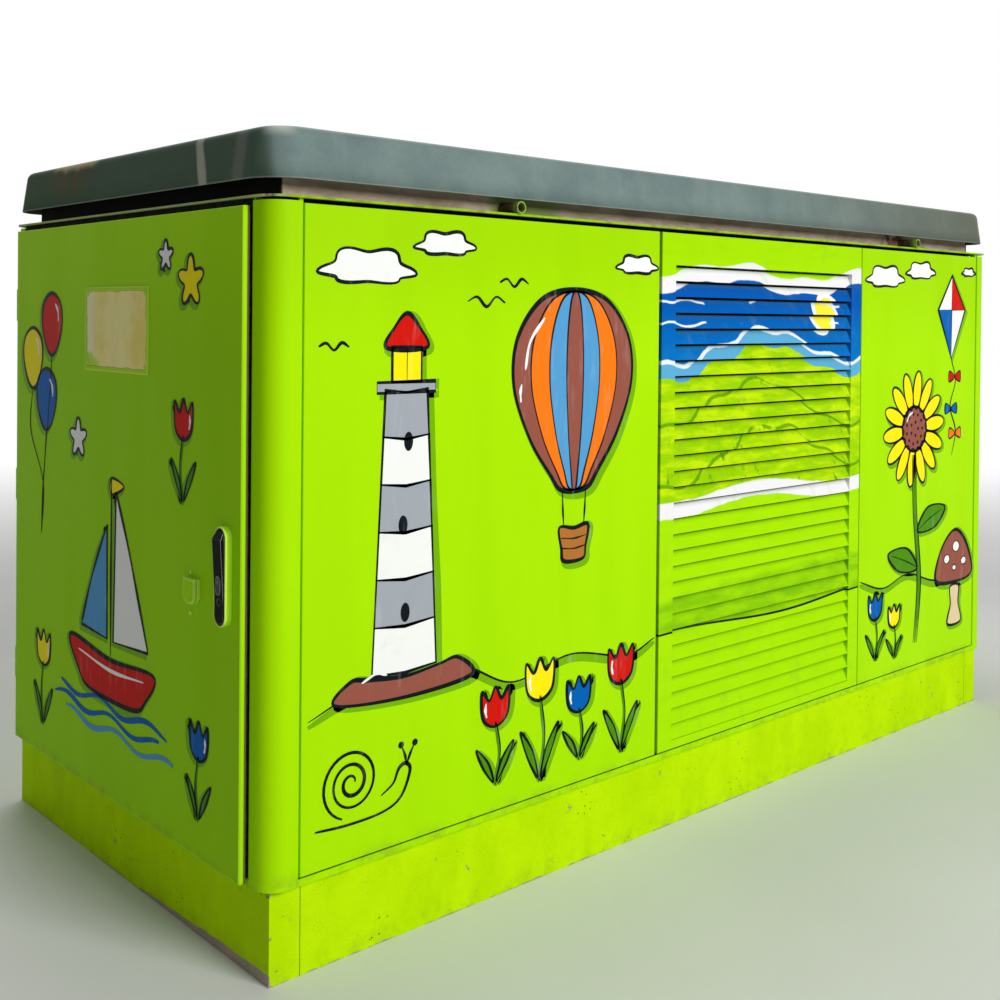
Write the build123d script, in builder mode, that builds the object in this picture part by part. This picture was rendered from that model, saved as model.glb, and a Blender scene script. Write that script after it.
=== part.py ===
from build123d import *
import math
import os

os.makedirs("parts", exist_ok=True)

# Roadside substation cabinet. Millimetres, X along the front, the front faces -Y, Z up.
# The origin is at the bottom centre, where the concrete stands on the ground.

# Body
BODY_LENGTH = 3100
BODY_DEPTH = 1400
SHEET = 3
SKIN = 2.5
FIT = 0.5

# Concrete plinth
PLINTH_HEIGHT = 205
PLINTH_INSET = 20
PLINTH_WALL = 76
PLINTH_JOINT = 2
FRONT_PLATE_THICK = 62
PLINTH_CHAMFER = 6

# Base frame, a folded ring on the plinth
SILL_HEIGHT = 15
BASE_WIDTH = 80
BASE_HEIGHT = 60
BASE_LEDGE = 30
CROSS_BEAM_WIDTH = 60

# Corner posts
POST_WIDTH = 75
POST_END_WIDTH = 72
POST_RADIUS = 50
POST_RETURN = 25
POST_REBATE_WIDTH = 8
POST_REBATE_DEPTH = 6

# Panels along the front and the back, from the left end of the body
PANEL_HEIGHT = 1441
PANEL_GAP = 3
PANEL_DEPTH = 20
PANEL_EDGE_RADIUS = 2
PANEL_RETURN = 25
LOUVRE_PANEL_WIDTH = 1000
LAST_PANEL_WIDTH = 768.5
WIDE_JOINT = 12
FINE_JOINT = 4
MULLION_WIDTH = 60
MULLION_DEPTH = 40

# Louvre
SLAT_PITCH = 44.2
SLAT_SHEET = 2
SLAT_RISE = 38
SLAT_RECESS = 18
SLAT_INNER_DEPTH = 32
SLAT_INNER_RISE = 14
SLAT_HEM = 6
LOUVRE_SIDE_BORDER = 58
LOUVRE_BOTTOM_BORDER = 24
LOUVRE_TOP_BORDER = 87
LOUVRE_JAMB_DEPTH = 40

# Drip flange, collar and lid
TOP_GAP = 10
POST_TOP_GAP = 6
FLANGE_THICK = 5
FLANGE_PROUD = 6
TOP_FRAME_INSET = 30
TOP_FRAME_WIDTH = 75
TOP_FRAME_DROP = 50
COLLAR_INSET = 55
COLLAR_FLANGE = 25
COLLAR_JOINT = 0.2
LID_GAP = 36
LID_SKIRT = 117
LID_PROUD = 7
LID_RADIUS = 95
LID_WALL = 5
LID_DRAFT = 8
LID_EDGE_BEVEL = 14
LID_EDGE_STEP = 5
LID_HOLLOW_STEPS = 4
LID_BORDER = 95
LID_CROWN = 16

# Lifting tubes
TUBE_OUTER_R = 15
TUBE_BORE_R = 11.8
TUBE_PROUD = 14
LEFT_TUBE_FROM_END = 699
RIGHT_TUBE_FROM_END = 525

# End doors and their frames
DOOR_FRAME_SETBACK = 4
DOOR_FRAME_LAND = 42
DOOR_FRAME_DEPTH = 24
DOOR_THICK = 16
DOOR_STANDOFF = 6
DOOR_EDGE_GAP = 3
DOOR_RISE = 7
DOOR_EDGE_RADIUS = 3
DOOR_RETURN = 30
DOOR_RIB_WIDTH = 60
DOOR_RIB_THICK = 9
SEAL_WIDTH = 12
SEAL_INSET = 11
SEAL_CLEARANCE = 0.3

# Lift-off hinges
HINGE_BARREL_R = 8
HINGE_PIN_R = 5
HINGE_CLEARANCE = 0.05
HINGE_HALF = 45
HINGE_WASHER_GAP = 0.1
HINGE_OFFSET = 11
HINGE_END_MARGIN = 210

# Swing handle
HANDLE_FROM_END = 136
HANDLE_MID_Z = 861.5
HANDLE_LENGTH = 217
HANDLE_WIDTH = 50
HANDLE_PROUD = 16
HANDLE_RIM = 3
HANDLE_EDGE = 1.2
HANDLE_POCKET = 12.5
LEVER_GAP = 2
LEVER_THICK = 10.5
LEVER_PROUD = 1
LEVER_PIVOT_DROP = 14
LEVER_PIVOT_DEPTH = 6
LEVER_RISE = 8
LEVER_TIP = 1.5
LEVER_PIN_R = 2.5
LEVER_BORE_CLEARANCE = 0.05
LEVER_EDGE = 2
LEVER_CREST = 7.5
LEVER_CREST_DROP = 13
LEVER_CREST_LENGTH = 138
CYLINDER_DROP = 18.5
CYLINDER_LENGTH = 40
CYLINDER_WIDTH = 20
CYLINDER_PROUD = 3.5
SCREW_DROP = 54.5
SCREW_R = 7.5

# Lock gear behind the door
GEAR_CASE_WIDTH = 36
GEAR_CASE_HEIGHT = 150
GEAR_CASE_DEPTH = 12
ROD_WIDTH = 16
ROD_THICK = 5
ROD_MARGIN = 45
ROD_GUIDE_WIDTH = 34
ROD_GUIDE_HEIGHT = 22
ROD_GUIDE_END_MARGIN = 125
ROD_GUIDE_FROM_CASE = 125

# Key hood
HOOD_FROM_END = 280
HOOD_TOP_Z = 835
HOOD_HEIGHT = 57
HOOD_WIDTH = 52
HOOD_FOOT_RADIUS = 20
HOOD_PROUD = 13
HOOD_EDGE = 2
HOOD_LUG_WIDTH = 4
HOOD_LUG_GAP = 1.5
HOOD_LUG_HEIGHT = 44
HOOD_LUG_PROUD = 6
RIVET_R = 4.5
RIVET_HEIGHT = 2.5
RIVET_SHIFT = 10
RIVET_ABOVE_HOOD = 11
RIVET_BELOW_HOOD = 24

# Sign plate, left bare
SIGN_FROM_END = 681
SIGN_BELOW_TOP = 271
SIGN_LENGTH = 352
SIGN_HEIGHT = 212
SIGN_THICK = 3
SIGN_RIM = 9
SIGN_RECESS = 1
SIGN_RIVET_R = 4

# Floors, partitions and transformer
FLOOR_THICK = 3
FLOOR_SLOT_MARGIN = 140
FLOOR_SLOT_DEPTH = 700
PARTITION_THICK = 3
RAIL_SPACING = 660
RAIL_WIDTH = 50
RAIL_HEIGHT = 40
TANK_LENGTH = 560
TANK_DEPTH = 860
TANK_HEIGHT = 800
FIN_DEPTH = 90
FIN_THICK = 10
FIN_PITCH = 45
FIN_MARGIN = 60
TANK_COVER_THICK = 12
TANK_COVER_LIP = 35
HV_BUSHING_HEIGHT = 220
HV_FOOT_R = 45
HV_TOP_R = 28
HV_SPACING = 250
LV_BUSHING_HEIGHT = 110
LV_FOOT_R = 33
LV_TOP_R = 22
LV_SPACING = 170
BUSHING_OFFSET = 170
BUSHING_STUD = 30
BUSHING_SIDES = 12

# Switchgear behind the left door
GEAR_FROM_END = 330
GEAR_BACK_GAP = 108
GEAR_WIDTH = 1000
GEAR_PLINTH = 120
GEAR_TOP_GAP = 66
GEAR_CHAMFER = 8
GEAR_BAYS = 3
COVER_HEIGHT = 430
COVER_THICK = 20
COVER_GAP = 8
CONTROL_TOP_MARGIN = 244
CONTROL_THICK = 30
CONTROL_RECESS = 8
SWITCH_HEX_R = 16
SWITCH_HEX_LENGTH = 24

# Low voltage board behind the right door
BOARD_FROM_END = 490
UPRIGHT_SIZE = 50
BOARD_WIDTH = 1000
BOARD_TOP_GAP = 66
BUSBAR_HEIGHT = 60
BUSBAR_THICK = 10
BUSBAR_STANDOFF = 45
BUSBAR_BELOW_TOP = 468
BUSBAR_PITCH = 190
BUSBAR_COUNT = 3
STRIP_COUNT = 8
STRIP_PITCH = 110
STRIP_WIDTH = 98
STRIP_HEIGHT = 640
STRIP_DEPTH = 90
FUSE_WIDTH = 46
FUSE_HEIGHT = 70
FUSE_DEPTH = 52
FUSE_BLADE = 28
NEUTRAL_Z = 420
CABLE_RAIL_Z = 340

# Levels and places worked out from the sizes above
LEFT = -BODY_LENGTH / 2
RIGHT = BODY_LENGTH / 2
FRONT = -BODY_DEPTH / 2
REAR = BODY_DEPTH / 2
BASE_Z = PLINTH_HEIGHT
PANEL_Z = BASE_Z + SILL_HEIGHT + PANEL_GAP
PANEL_TOP = PANEL_Z + PANEL_HEIGHT
FLANGE_Z = PANEL_TOP + TOP_GAP
FLANGE_TOP = FLANGE_Z + FLANGE_THICK
POST_TOP = FLANGE_Z - POST_TOP_GAP
WEB_Z = FLANGE_Z - TOP_FRAME_DROP
LID_Z = FLANGE_TOP + LID_GAP
LID_TOP = LID_Z + LID_SKIRT
LEDGE_Z = BASE_Z + BASE_HEIGHT
FLOOR_Z = LEDGE_Z + FLOOR_THICK
SEAT_Z = BASE_Z + SHEET
DOOR_Z = BASE_Z + DOOR_RISE
DOOR_TOP = PANEL_TOP - DOOR_RISE
DOOR_WIDTH = BODY_DEPTH - 2 * (POST_END_WIDTH + DOOR_EDGE_GAP)
DOOR_HEIGHT = DOOR_TOP - DOOR_Z
DOOR_MID_Z = (DOOR_Z + DOOR_TOP) / 2
HINGE_LEVELS = (DOOR_Z + HINGE_END_MARGIN, DOOR_MID_Z, DOOR_TOP - HINGE_END_MARGIN)
DOOR_BACK = LEFT - DOOR_STANDOFF
DOOR_FACE = DOOR_BACK - DOOR_THICK
HANDLE_Y = FRONT + HANDLE_FROM_END
PANEL_EDGE = POST_WIDTH + POST_REBATE_WIDTH + FIT
LAST_PANEL_START = BODY_LENGTH - PANEL_EDGE - LAST_PANEL_WIDTH
LOUVRE_PANEL_END = LAST_PANEL_START - FINE_JOINT
LOUVRE_PANEL_START = LOUVRE_PANEL_END - LOUVRE_PANEL_WIDTH
FIRST_PANEL_END = LOUVRE_PANEL_START - WIDE_JOINT
SEAM_LEFT_X = LEFT + FIRST_PANEL_END + WIDE_JOINT / 2
SEAM_RIGHT_X = LEFT + LOUVRE_PANEL_END + FINE_JOINT / 2
TUBE_Z = FLANGE_TOP + TUBE_OUTER_R
TUBE_PLACES = ((LEFT + LEFT_TUBE_FROM_END, TUBE_Z), (RIGHT - RIGHT_TUBE_FROM_END, TUBE_Z))


def keep(piece, name):
    """Labels a finished piece and writes its file."""
    piece.part.label = name
    export_step(piece.part, f"parts/{name}.step")


def keep_mirrored(piece, plane, name):
    """Writes the piece that stands opposite, mirrored in a middle plane of the cabinet."""
    with BuildPart() as opposite:
        mirror(piece.part, about=plane)
    keep(opposite, name)


def keep_both_ends(piece, name):
    """Writes the left end's piece and its twin at the right end."""
    keep(piece, f"left_{name}")
    keep_mirrored(piece, Plane.YZ, f"right_{name}")


def body_outline(inset, corner=0, mode=Mode.ADD):
    """Draws the body's plan outline, set in by an inset, square or with rounded corners."""
    length = BODY_LENGTH - 2 * inset
    depth = BODY_DEPTH - 2 * inset
    if corner > 0:
        RectangleRounded(length, depth, corner, mode=mode)
    else:
        Rectangle(length, depth, mode=mode)


def ring(z, height, outer, inner, corner=0, mode=Mode.ADD):
    """Adds an upright band round the body's plan, between two insets."""
    with BuildSketch(Plane.XY.offset(z)) as band:
        body_outline(outer, corner - outer if corner else 0)
        body_outline(inner, corner - inner if corner else 0, Mode.SUBTRACT)
    extrude(band.sketch, amount=height, mode=mode)


# Concrete plinth: back and end walls in one, open at the front between the end walls
with BuildPart() as plinth_frame:
    plinth_length = BODY_LENGTH - 2 * PLINTH_INSET
    plinth_depth = BODY_DEPTH - 2 * PLINTH_INSET
    with BuildSketch():
        Rectangle(plinth_length, plinth_depth)
        with Locations((0, -PLINTH_WALL)):
            Rectangle(plinth_length - 2 * PLINTH_WALL, plinth_depth, mode=Mode.SUBTRACT)
    extrude(amount=PLINTH_HEIGHT)
    rim = plinth_frame.edges().group_by(Axis.Z)[-1]
    outer_rim = rim.group_by(Axis.X)[0] + rim.group_by(Axis.X)[-1] + rim.group_by(Axis.Y)[-1]
    chamfer(outer_rim, length=PLINTH_CHAMFER)
keep(plinth_frame, "plinth_frame")

# The removable plate that closes the plinth's front
with BuildPart() as plinth_front_plate:
    with BuildSketch():
        with Locations((0, FRONT + PLINTH_INSET)):
            Rectangle(
                plinth_length - 2 * PLINTH_WALL - 2 * PLINTH_JOINT,
                FRONT_PLATE_THICK,
                align=(Align.CENTER, Align.MIN),
            )
    extrude(amount=PLINTH_HEIGHT)
    top_edges = plinth_front_plate.edges().group_by(Axis.Z)[-1]
    chamfer(top_edges.group_by(Axis.Y)[0], length=PLINTH_CHAMFER)
keep(plinth_front_plate, "plinth_front_plate")

# Base frame: one folded ring with an outer lip, an inner web and a ledge, and two cross beams
with BuildPart() as base_frame:
    ring(BASE_Z, SHEET, 0, BASE_WIDTH, POST_RADIUS)
    ring(BASE_Z, SILL_HEIGHT, 0, SHEET, POST_RADIUS)
    ring(BASE_Z, BASE_HEIGHT, BASE_WIDTH - SHEET, BASE_WIDTH)
    ring(LEDGE_Z - SHEET, SHEET, BASE_WIDTH - SHEET, BASE_WIDTH + BASE_LEDGE)
    with BuildSketch(Plane.XY.offset(BASE_Z)):
        with Locations((SEAM_LEFT_X, 0), (SEAM_RIGHT_X, 0)):
            Rectangle(CROSS_BEAM_WIDTH, BODY_DEPTH - 2 * BASE_WIDTH)
    extrude(amount=BASE_HEIGHT)
    # The posts' skin passes outside the ring at each corner
    with BuildSketch(Plane.XY.offset(BASE_Z)):
        notch_x = POST_WIDTH + FIT
        notch_y = POST_END_WIDTH + FIT
        with GridLocations(BODY_LENGTH - notch_x, BODY_DEPTH - notch_y, 2, 2):
            Rectangle(notch_x, notch_y)
        body_outline(SHEET + FIT, POST_RADIUS - SHEET - FIT, Mode.SUBTRACT)
    extrude(amount=SILL_HEIGHT, mode=Mode.SUBTRACT)
keep(base_frame, "base_frame")

# Corner post: folded sheet with a large round outside, a rebate for the panel and a return for the door
with BuildPart() as corner_post:
    with BuildSketch(Plane((LEFT, FRONT, BASE_Z))) as post_section:
        with BuildLine():
            rebate_x = POST_WIDTH + POST_REBATE_WIDTH
            rebate_y = POST_REBATE_DEPTH
            Polyline(
                (POST_RADIUS, 0),
                (POST_WIDTH, 0),
                (POST_WIDTH, rebate_y),
                (rebate_x, rebate_y),
                (rebate_x, POST_RETURN),
                (rebate_x - SHEET, POST_RETURN),
                (rebate_x - SHEET, rebate_y + SHEET),
                (POST_WIDTH - SHEET, rebate_y + SHEET),
                (POST_WIDTH - SHEET, SHEET),
                (POST_RADIUS, SHEET),
            )
            CenterArc((POST_RADIUS, POST_RADIUS), POST_RADIUS - SHEET, 180, 90)
            Polyline(
                (SHEET, POST_RADIUS),
                (SHEET, POST_END_WIDTH - SHEET),
                (POST_RETURN, POST_END_WIDTH - SHEET),
                (POST_RETURN, POST_END_WIDTH),
                (0, POST_END_WIDTH),
                (0, POST_RADIUS),
            )
            CenterArc((POST_RADIUS, POST_RADIUS), POST_RADIUS, 180, 90)
        make_face()
    extrude(amount=FLANGE_Z - BASE_Z)
    # Only the skin reaches down past the base frame, and only the returns reach up to the flange
    with BuildSketch(Plane.XY.offset(BASE_Z)):
        body_outline(SHEET, POST_RADIUS - SHEET)
    extrude(amount=SHEET, mode=Mode.SUBTRACT)
    ring(POST_TOP, POST_TOP_GAP, -FIT, SHEET, POST_RADIUS, Mode.SUBTRACT)
keep(corner_post, "corner_post_front_left")
keep_mirrored(corner_post, Plane.YZ, "corner_post_front_right")
keep_mirrored(corner_post, Plane.XZ, "corner_post_rear_left")
with BuildPart() as rear_right_post:
    mirror(corner_post.part, about=Plane.YZ)
    mirror(about=Plane.XZ, mode=Mode.REPLACE)
keep(rear_right_post, "corner_post_rear_right")

# Mullions: folded channels behind the panel joints, from the base frame to the drip flange
with BuildPart() as mullions:
    with BuildSketch(Plane.XY.offset(SEAT_Z)) as channel:
        for seam_x in (SEAM_LEFT_X, SEAM_RIGHT_X):
            with Locations((seam_x, FRONT + PANEL_DEPTH)):
                Rectangle(MULLION_WIDTH, MULLION_DEPTH, align=(Align.CENTER, Align.MIN))
            with Locations((seam_x, FRONT + PANEL_DEPTH + SHEET)):
                Rectangle(
                    MULLION_WIDTH - 2 * SHEET,
                    MULLION_DEPTH - SHEET,
                    align=(Align.CENTER, Align.MIN),
                    mode=Mode.SUBTRACT,
                )
        mirror(about=Plane.XZ)
    extrude(amount=FLANGE_Z - SEAT_Z)
keep(mullions, "mullions")

# Top frame: the thin drip flange over the panels, two webs under it and two cross members
with BuildPart() as top_frame:
    frame_inner = TOP_FRAME_INSET + TOP_FRAME_WIDTH
    ring(FLANGE_Z, FLANGE_THICK, -FLANGE_PROUD, frame_inner, POST_RADIUS)
    ring(WEB_Z, TOP_FRAME_DROP, frame_inner - SHEET, frame_inner)
    with BuildSketch(Plane.XY.offset(WEB_Z)):
        with Locations((SEAM_LEFT_X, 0), (SEAM_RIGHT_X, 0)):
            Rectangle(CROSS_BEAM_WIDTH, BODY_DEPTH - 2 * frame_inner)
    extrude(amount=TOP_FRAME_DROP + FLANGE_THICK)
keep(top_frame, "top_frame")

# Collar: the recessed band that carries the lid, with a hole for each lifting tube. It is four
# folded sheets: the front and back ones turn the corners, and the end ones fit between them
with BuildPart() as roof_collar:
    seat = LID_TOP - LID_WALL
    ring(FLANGE_TOP, seat - FLANGE_TOP, COLLAR_INSET, COLLAR_INSET + SHEET)
    ring(seat - SHEET, SHEET, COLLAR_INSET, COLLAR_INSET + COLLAR_FLANGE)
    with BuildSketch(Plane.XZ.offset(REAR)):
        with Locations(*TUBE_PLACES):
            Circle(TUBE_OUTER_R + FIT)
    extrude(amount=-BODY_DEPTH, mode=Mode.SUBTRACT)
    with BuildSketch(Plane.XY.offset(FLANGE_TOP)):
        with GridLocations(0, BODY_DEPTH - 2 * (COLLAR_INSET + COLLAR_FLANGE), 1, 2):
            Rectangle(BODY_LENGTH, COLLAR_JOINT)
    extrude(amount=seat - FLANGE_TOP, mode=Mode.SUBTRACT)
keep(roof_collar, "roof_collar")

# Lifting tubes: right through the collar from front to back, lying on the drip flange
with BuildPart() as lifting_tubes:
    tube_length = BODY_DEPTH + 2 * TUBE_PROUD
    with BuildSketch(Plane.XZ.offset(tube_length / 2)):
        with Locations(*TUBE_PLACES):
            Circle(TUBE_OUTER_R)
            Circle(TUBE_BORE_R, mode=Mode.SUBTRACT)
    extrude(amount=-tube_length)
keep(lifting_tubes, "lifting_tubes")


def soft_rectangle(length, depth, radius, steps):
    """Draws a rectangle whose corners turn in straight steps on a given radius."""
    points = []
    for quarter, (side_x, side_y) in enumerate(((1, 1), (-1, 1), (-1, -1), (1, -1))):
        for step in range(steps + 1):
            angle = math.radians(90 * (quarter + step / steps))
            points.append((
                side_x * (length / 2 - radius) + radius * math.cos(angle),
                side_y * (depth / 2 - radius) + radius * math.sin(angle),
            ))
    Polygon(*points, align=None)


def lid_hip(shrink):
    """Adds the shallow hipped crown, or its hollow when lowered by the wall."""
    base_length = BODY_LENGTH - 2 * LID_BORDER
    base_depth = BODY_DEPTH - 2 * LID_BORDER
    ridge_depth = 20
    with BuildSketch(Plane.XY.offset(LID_TOP - shrink)) as eaves:
        Rectangle(base_length, base_depth)
    with BuildSketch(Plane.XY.offset(LID_TOP - shrink + LID_CROWN)) as ridge:
        Rectangle(base_length - base_depth + ridge_depth, ridge_depth)
    loft([eaves.sketch, ridge.sketch])


# Lid: one moulded hood with drafted skirt, rounded corners and edge, and a shallow hipped crown
with BuildPart() as lid_hollow:
    with BuildSketch(Plane.XY.offset(LID_Z)):
        soft_rectangle(
            BODY_LENGTH + 2 * (LID_PROUD - LID_WALL),
            BODY_DEPTH + 2 * (LID_PROUD - LID_WALL),
            LID_RADIUS - LID_WALL,
            LID_HOLLOW_STEPS,
        )
    extrude(amount=LID_SKIRT - LID_WALL, taper=LID_DRAFT)
    chamfer(lid_hollow.edges().group_by(Axis.Z)[-1], length=LID_EDGE_BEVEL)
    lid_hip(LID_WALL)
with BuildPart() as lid:
    with BuildSketch(Plane.XY.offset(LID_Z)):
        body_outline(-LID_PROUD, LID_RADIUS)
    extrude(amount=LID_SKIRT, taper=LID_DRAFT)
    chamfer(lid.edges().group_by(Axis.Z)[-1], length=LID_EDGE_BEVEL)
    bevel_rings = lid.edges().group_by(Axis.Z)
    chamfer(bevel_rings[-1] + bevel_rings[-2], length=LID_EDGE_STEP)
    lid_hip(0)
    add(lid_hollow.part, mode=Mode.SUBTRACT)
keep(lid, "lid")


def tray(outside, middle, width, height, depth, fold):
    """Adds a sheet tray with its face on the given plane and its edges folded twice."""
    with BuildSketch(outside) as face:
        with Locations(middle):
            Rectangle(width, height)
    extrude(face.sketch, amount=-depth)
    with BuildSketch(outside.offset(-SKIN)) as inside:
        with Locations(middle):
            Rectangle(width - 2 * SKIN, height - 2 * SKIN)
    extrude(inside.sketch, amount=2 * SKIN - depth, mode=Mode.SUBTRACT)
    with BuildSketch(outside.offset(SKIN - depth)) as mouth:
        with Locations(middle):
            Rectangle(width - 2 * fold, height - 2 * fold)
    extrude(mouth.sketch, amount=-SKIN, mode=Mode.SUBTRACT)


def front_tray(start, end):
    """Adds a panel tray on the front, between two distances from the body's left end."""
    middle = (LEFT + (start + end) / 2, (PANEL_Z + PANEL_TOP) / 2)
    tray(Plane.XZ.offset(REAR), middle, end - start, PANEL_HEIGHT, PANEL_DEPTH, PANEL_RETURN)


def soften_face(piece, axis, radius):
    """Rounds the folds round the face that looks back along an axis."""
    outer_face = piece.faces().filter_by(axis).sort_by(axis)[0]
    fillet(outer_face.outer_wire().edges(), radius=radius)


# Plain panels, left and right of the louvre, on the front and the back
with BuildPart() as panel_left:
    front_tray(PANEL_EDGE, FIRST_PANEL_END)
    soften_face(panel_left, Axis.Y, PANEL_EDGE_RADIUS)
keep(panel_left, "front_panel_left")
keep_mirrored(panel_left, Plane.XZ, "rear_panel_left")

with BuildPart() as panel_right:
    front_tray(LAST_PANEL_START, BODY_LENGTH - PANEL_EDGE)
    soften_face(panel_right, Axis.Y, PANEL_EDGE_RADIUS)
keep(panel_right, "front_panel_right")
keep_mirrored(panel_right, Plane.XZ, "rear_panel_right")

# Louvre panel: a tray with a large opening and folded jambs that hold the slats
OPENING_START = LOUVRE_PANEL_START + LOUVRE_SIDE_BORDER
OPENING_END = LOUVRE_PANEL_END - LOUVRE_SIDE_BORDER
OPENING_Z = PANEL_Z + LOUVRE_BOTTOM_BORDER
SLAT_ROOM = PANEL_HEIGHT - LOUVRE_BOTTOM_BORDER - LOUVRE_TOP_BORDER - SLAT_SHEET
SLAT_COUNT = int(SLAT_ROOM / SLAT_PITCH)
OPENING_HEIGHT = SLAT_COUNT * SLAT_PITCH + SLAT_SHEET
with BuildPart() as louvre_frame:
    front_tray(LOUVRE_PANEL_START, LOUVRE_PANEL_END)
    opening_middle = (LEFT + (OPENING_START + OPENING_END) / 2, OPENING_Z + OPENING_HEIGHT / 2)
    opening_width = OPENING_END - OPENING_START
    with BuildSketch(Plane.XZ.offset(REAR)) as jambs:
        with Locations(opening_middle):
            Rectangle(opening_width + 2 * SKIN, OPENING_HEIGHT + 2 * SKIN)
    extrude(jambs.sketch, amount=-LOUVRE_JAMB_DEPTH)
    with BuildSketch(Plane.XZ.offset(REAR)) as opening:
        with Locations(opening_middle):
            Rectangle(opening_width, OPENING_HEIGHT)
    extrude(opening.sketch, amount=-LOUVRE_JAMB_DEPTH, mode=Mode.SUBTRACT)
    soften_face(louvre_frame, Axis.Y, PANEL_EDGE_RADIUS)
keep(louvre_frame, "front_louvre_frame")
keep_mirrored(louvre_frame, Plane.XZ, "rear_louvre_frame")

# Slats: folded chevrons with a hemmed lower edge, flush with the panel at the bottom
with BuildPart() as louvre_slats:
    with BuildSketch(Plane.YZ.offset(LEFT + OPENING_START)):
        for number in range(SLAT_COUNT):
            foot_z = OPENING_Z + SLAT_SHEET + number * SLAT_PITCH
            with BuildLine():
                slat = Polyline(
                    (FRONT + SLAT_HEM, foot_z + SLAT_HEM / 2),
                    (FRONT, foot_z),
                    (FRONT + SLAT_RECESS, foot_z + SLAT_RISE),
                    (FRONT + SLAT_INNER_DEPTH, foot_z + SLAT_INNER_RISE),
                )
                offset(slat, amount=SLAT_SHEET, side=Side.RIGHT)
            make_face()
    extrude(amount=opening_width)
keep(louvre_slats, "front_louvre_slats")
keep_mirrored(louvre_slats, Plane.XZ, "rear_louvre_slats")

# Partition walls between the three compartments
with BuildPart() as partition_walls:
    wall_depth = BODY_DEPTH - 2 * (PANEL_DEPTH + MULLION_DEPTH)
    with BuildSketch(Plane.XY.offset(LEDGE_Z)):
        with Locations((SEAM_LEFT_X, 0), (SEAM_RIGHT_X, 0)):
            Rectangle(PARTITION_THICK, wall_depth)
    extrude(amount=WEB_Z - LEDGE_Z)
keep(partition_walls, "partition_walls")

# Floor plates of the two end compartments, on the base frame's ledge, with a slot for cables
with BuildPart() as floor_plates:
    floor_edge = BASE_WIDTH + FIT
    left_end = SEAM_LEFT_X - PARTITION_THICK
    right_start = SEAM_RIGHT_X + PARTITION_THICK
    spans = ((LEFT + floor_edge, left_end), (right_start, RIGHT - floor_edge))
    with BuildSketch(Plane.XY.offset(LEDGE_Z)):
        for low, high in spans:
            with Locations(((low + high) / 2, 0)):
                Rectangle(high - low, BODY_DEPTH - 2 * floor_edge)
                Rectangle(high - low - 2 * FLOOR_SLOT_MARGIN, FLOOR_SLOT_DEPTH, mode=Mode.SUBTRACT)
    extrude(amount=FLOOR_THICK)
keep(floor_plates, "floor_plates")

# Frame of each end opening: folded channel with a flat land for the door's seal
with BuildPart() as door_frame:
    land = Plane.YZ.offset(LEFT + DOOR_FRAME_SETBACK)
    frame_width = BODY_DEPTH - 2 * POST_END_WIDTH
    frame_height = FLANGE_Z - SEAT_Z
    frame_middle = (0, (FLANGE_Z + SEAT_Z) / 2)
    with BuildSketch(land) as land_ring:
        with Locations(frame_middle):
            Rectangle(frame_width, frame_height)
            Rectangle(
                frame_width - 2 * DOOR_FRAME_LAND,
                frame_height - 2 * DOOR_FRAME_LAND,
                mode=Mode.SUBTRACT,
            )
    extrude(amount=DOOR_FRAME_DEPTH)
    with BuildSketch(land.offset(SHEET)) as channel_ring:
        with Locations(frame_middle):
            Rectangle(frame_width - 2 * SHEET, frame_height - 2 * SHEET)
            Rectangle(
                frame_width - 2 * DOOR_FRAME_LAND + 2 * SHEET,
                frame_height - 2 * DOOR_FRAME_LAND + 2 * SHEET,
                mode=Mode.SUBTRACT,
            )
    extrude(amount=DOOR_FRAME_DEPTH - SHEET, mode=Mode.SUBTRACT)
keep_both_ends(door_frame, "door_frame")

# Door leaf: a deep folded tray with three stiffening ribs and guides for the lock rods
RIB_START = HANDLE_Y + GEAR_CASE_WIDTH
RIB_END = DOOR_WIDTH / 2 - SKIN
with BuildPart() as door_leaf:
    door_plane = Plane((DOOR_FACE, 0, 0), x_dir=(0, -1, 0), z_dir=(-1, 0, 0))
    tray(door_plane, (0, DOOR_MID_Z), DOOR_WIDTH, DOOR_HEIGHT, DOOR_THICK, DOOR_RETURN)
    soften_face(door_leaf, Axis.X, DOOR_EDGE_RADIUS)
    door_inside = Plane.YZ.offset(DOOR_FACE + SKIN)
    with BuildSketch(door_inside):
        for level in HINGE_LEVELS:
            with Locations(((RIB_START + RIB_END) / 2, level)):
                Rectangle(RIB_END - RIB_START, DOOR_RIB_WIDTH)
    extrude(amount=DOOR_RIB_THICK)
    with BuildSketch(door_inside):
        near_spread = GEAR_CASE_HEIGHT + 2 * ROD_GUIDE_FROM_CASE
        far_spread = DOOR_HEIGHT - 2 * ROD_GUIDE_END_MARGIN
        for level, spread in ((HANDLE_MID_Z, near_spread), (DOOR_MID_Z, far_spread)):
            with Locations((HANDLE_Y, level)):
                with GridLocations(0, spread, 1, 2):
                    Rectangle(ROD_GUIDE_WIDTH, ROD_GUIDE_HEIGHT)
    extrude(amount=DOOR_RIB_THICK)
    with BuildSketch(door_inside):
        with Locations((HANDLE_Y, DOOR_MID_Z)):
            Rectangle(ROD_WIDTH + FIT, DOOR_HEIGHT - 2 * DOOR_RETURN)
    extrude(amount=ROD_THICK + FIT, mode=Mode.SUBTRACT)
keep_both_ends(door_leaf, "door_leaf")

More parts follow.
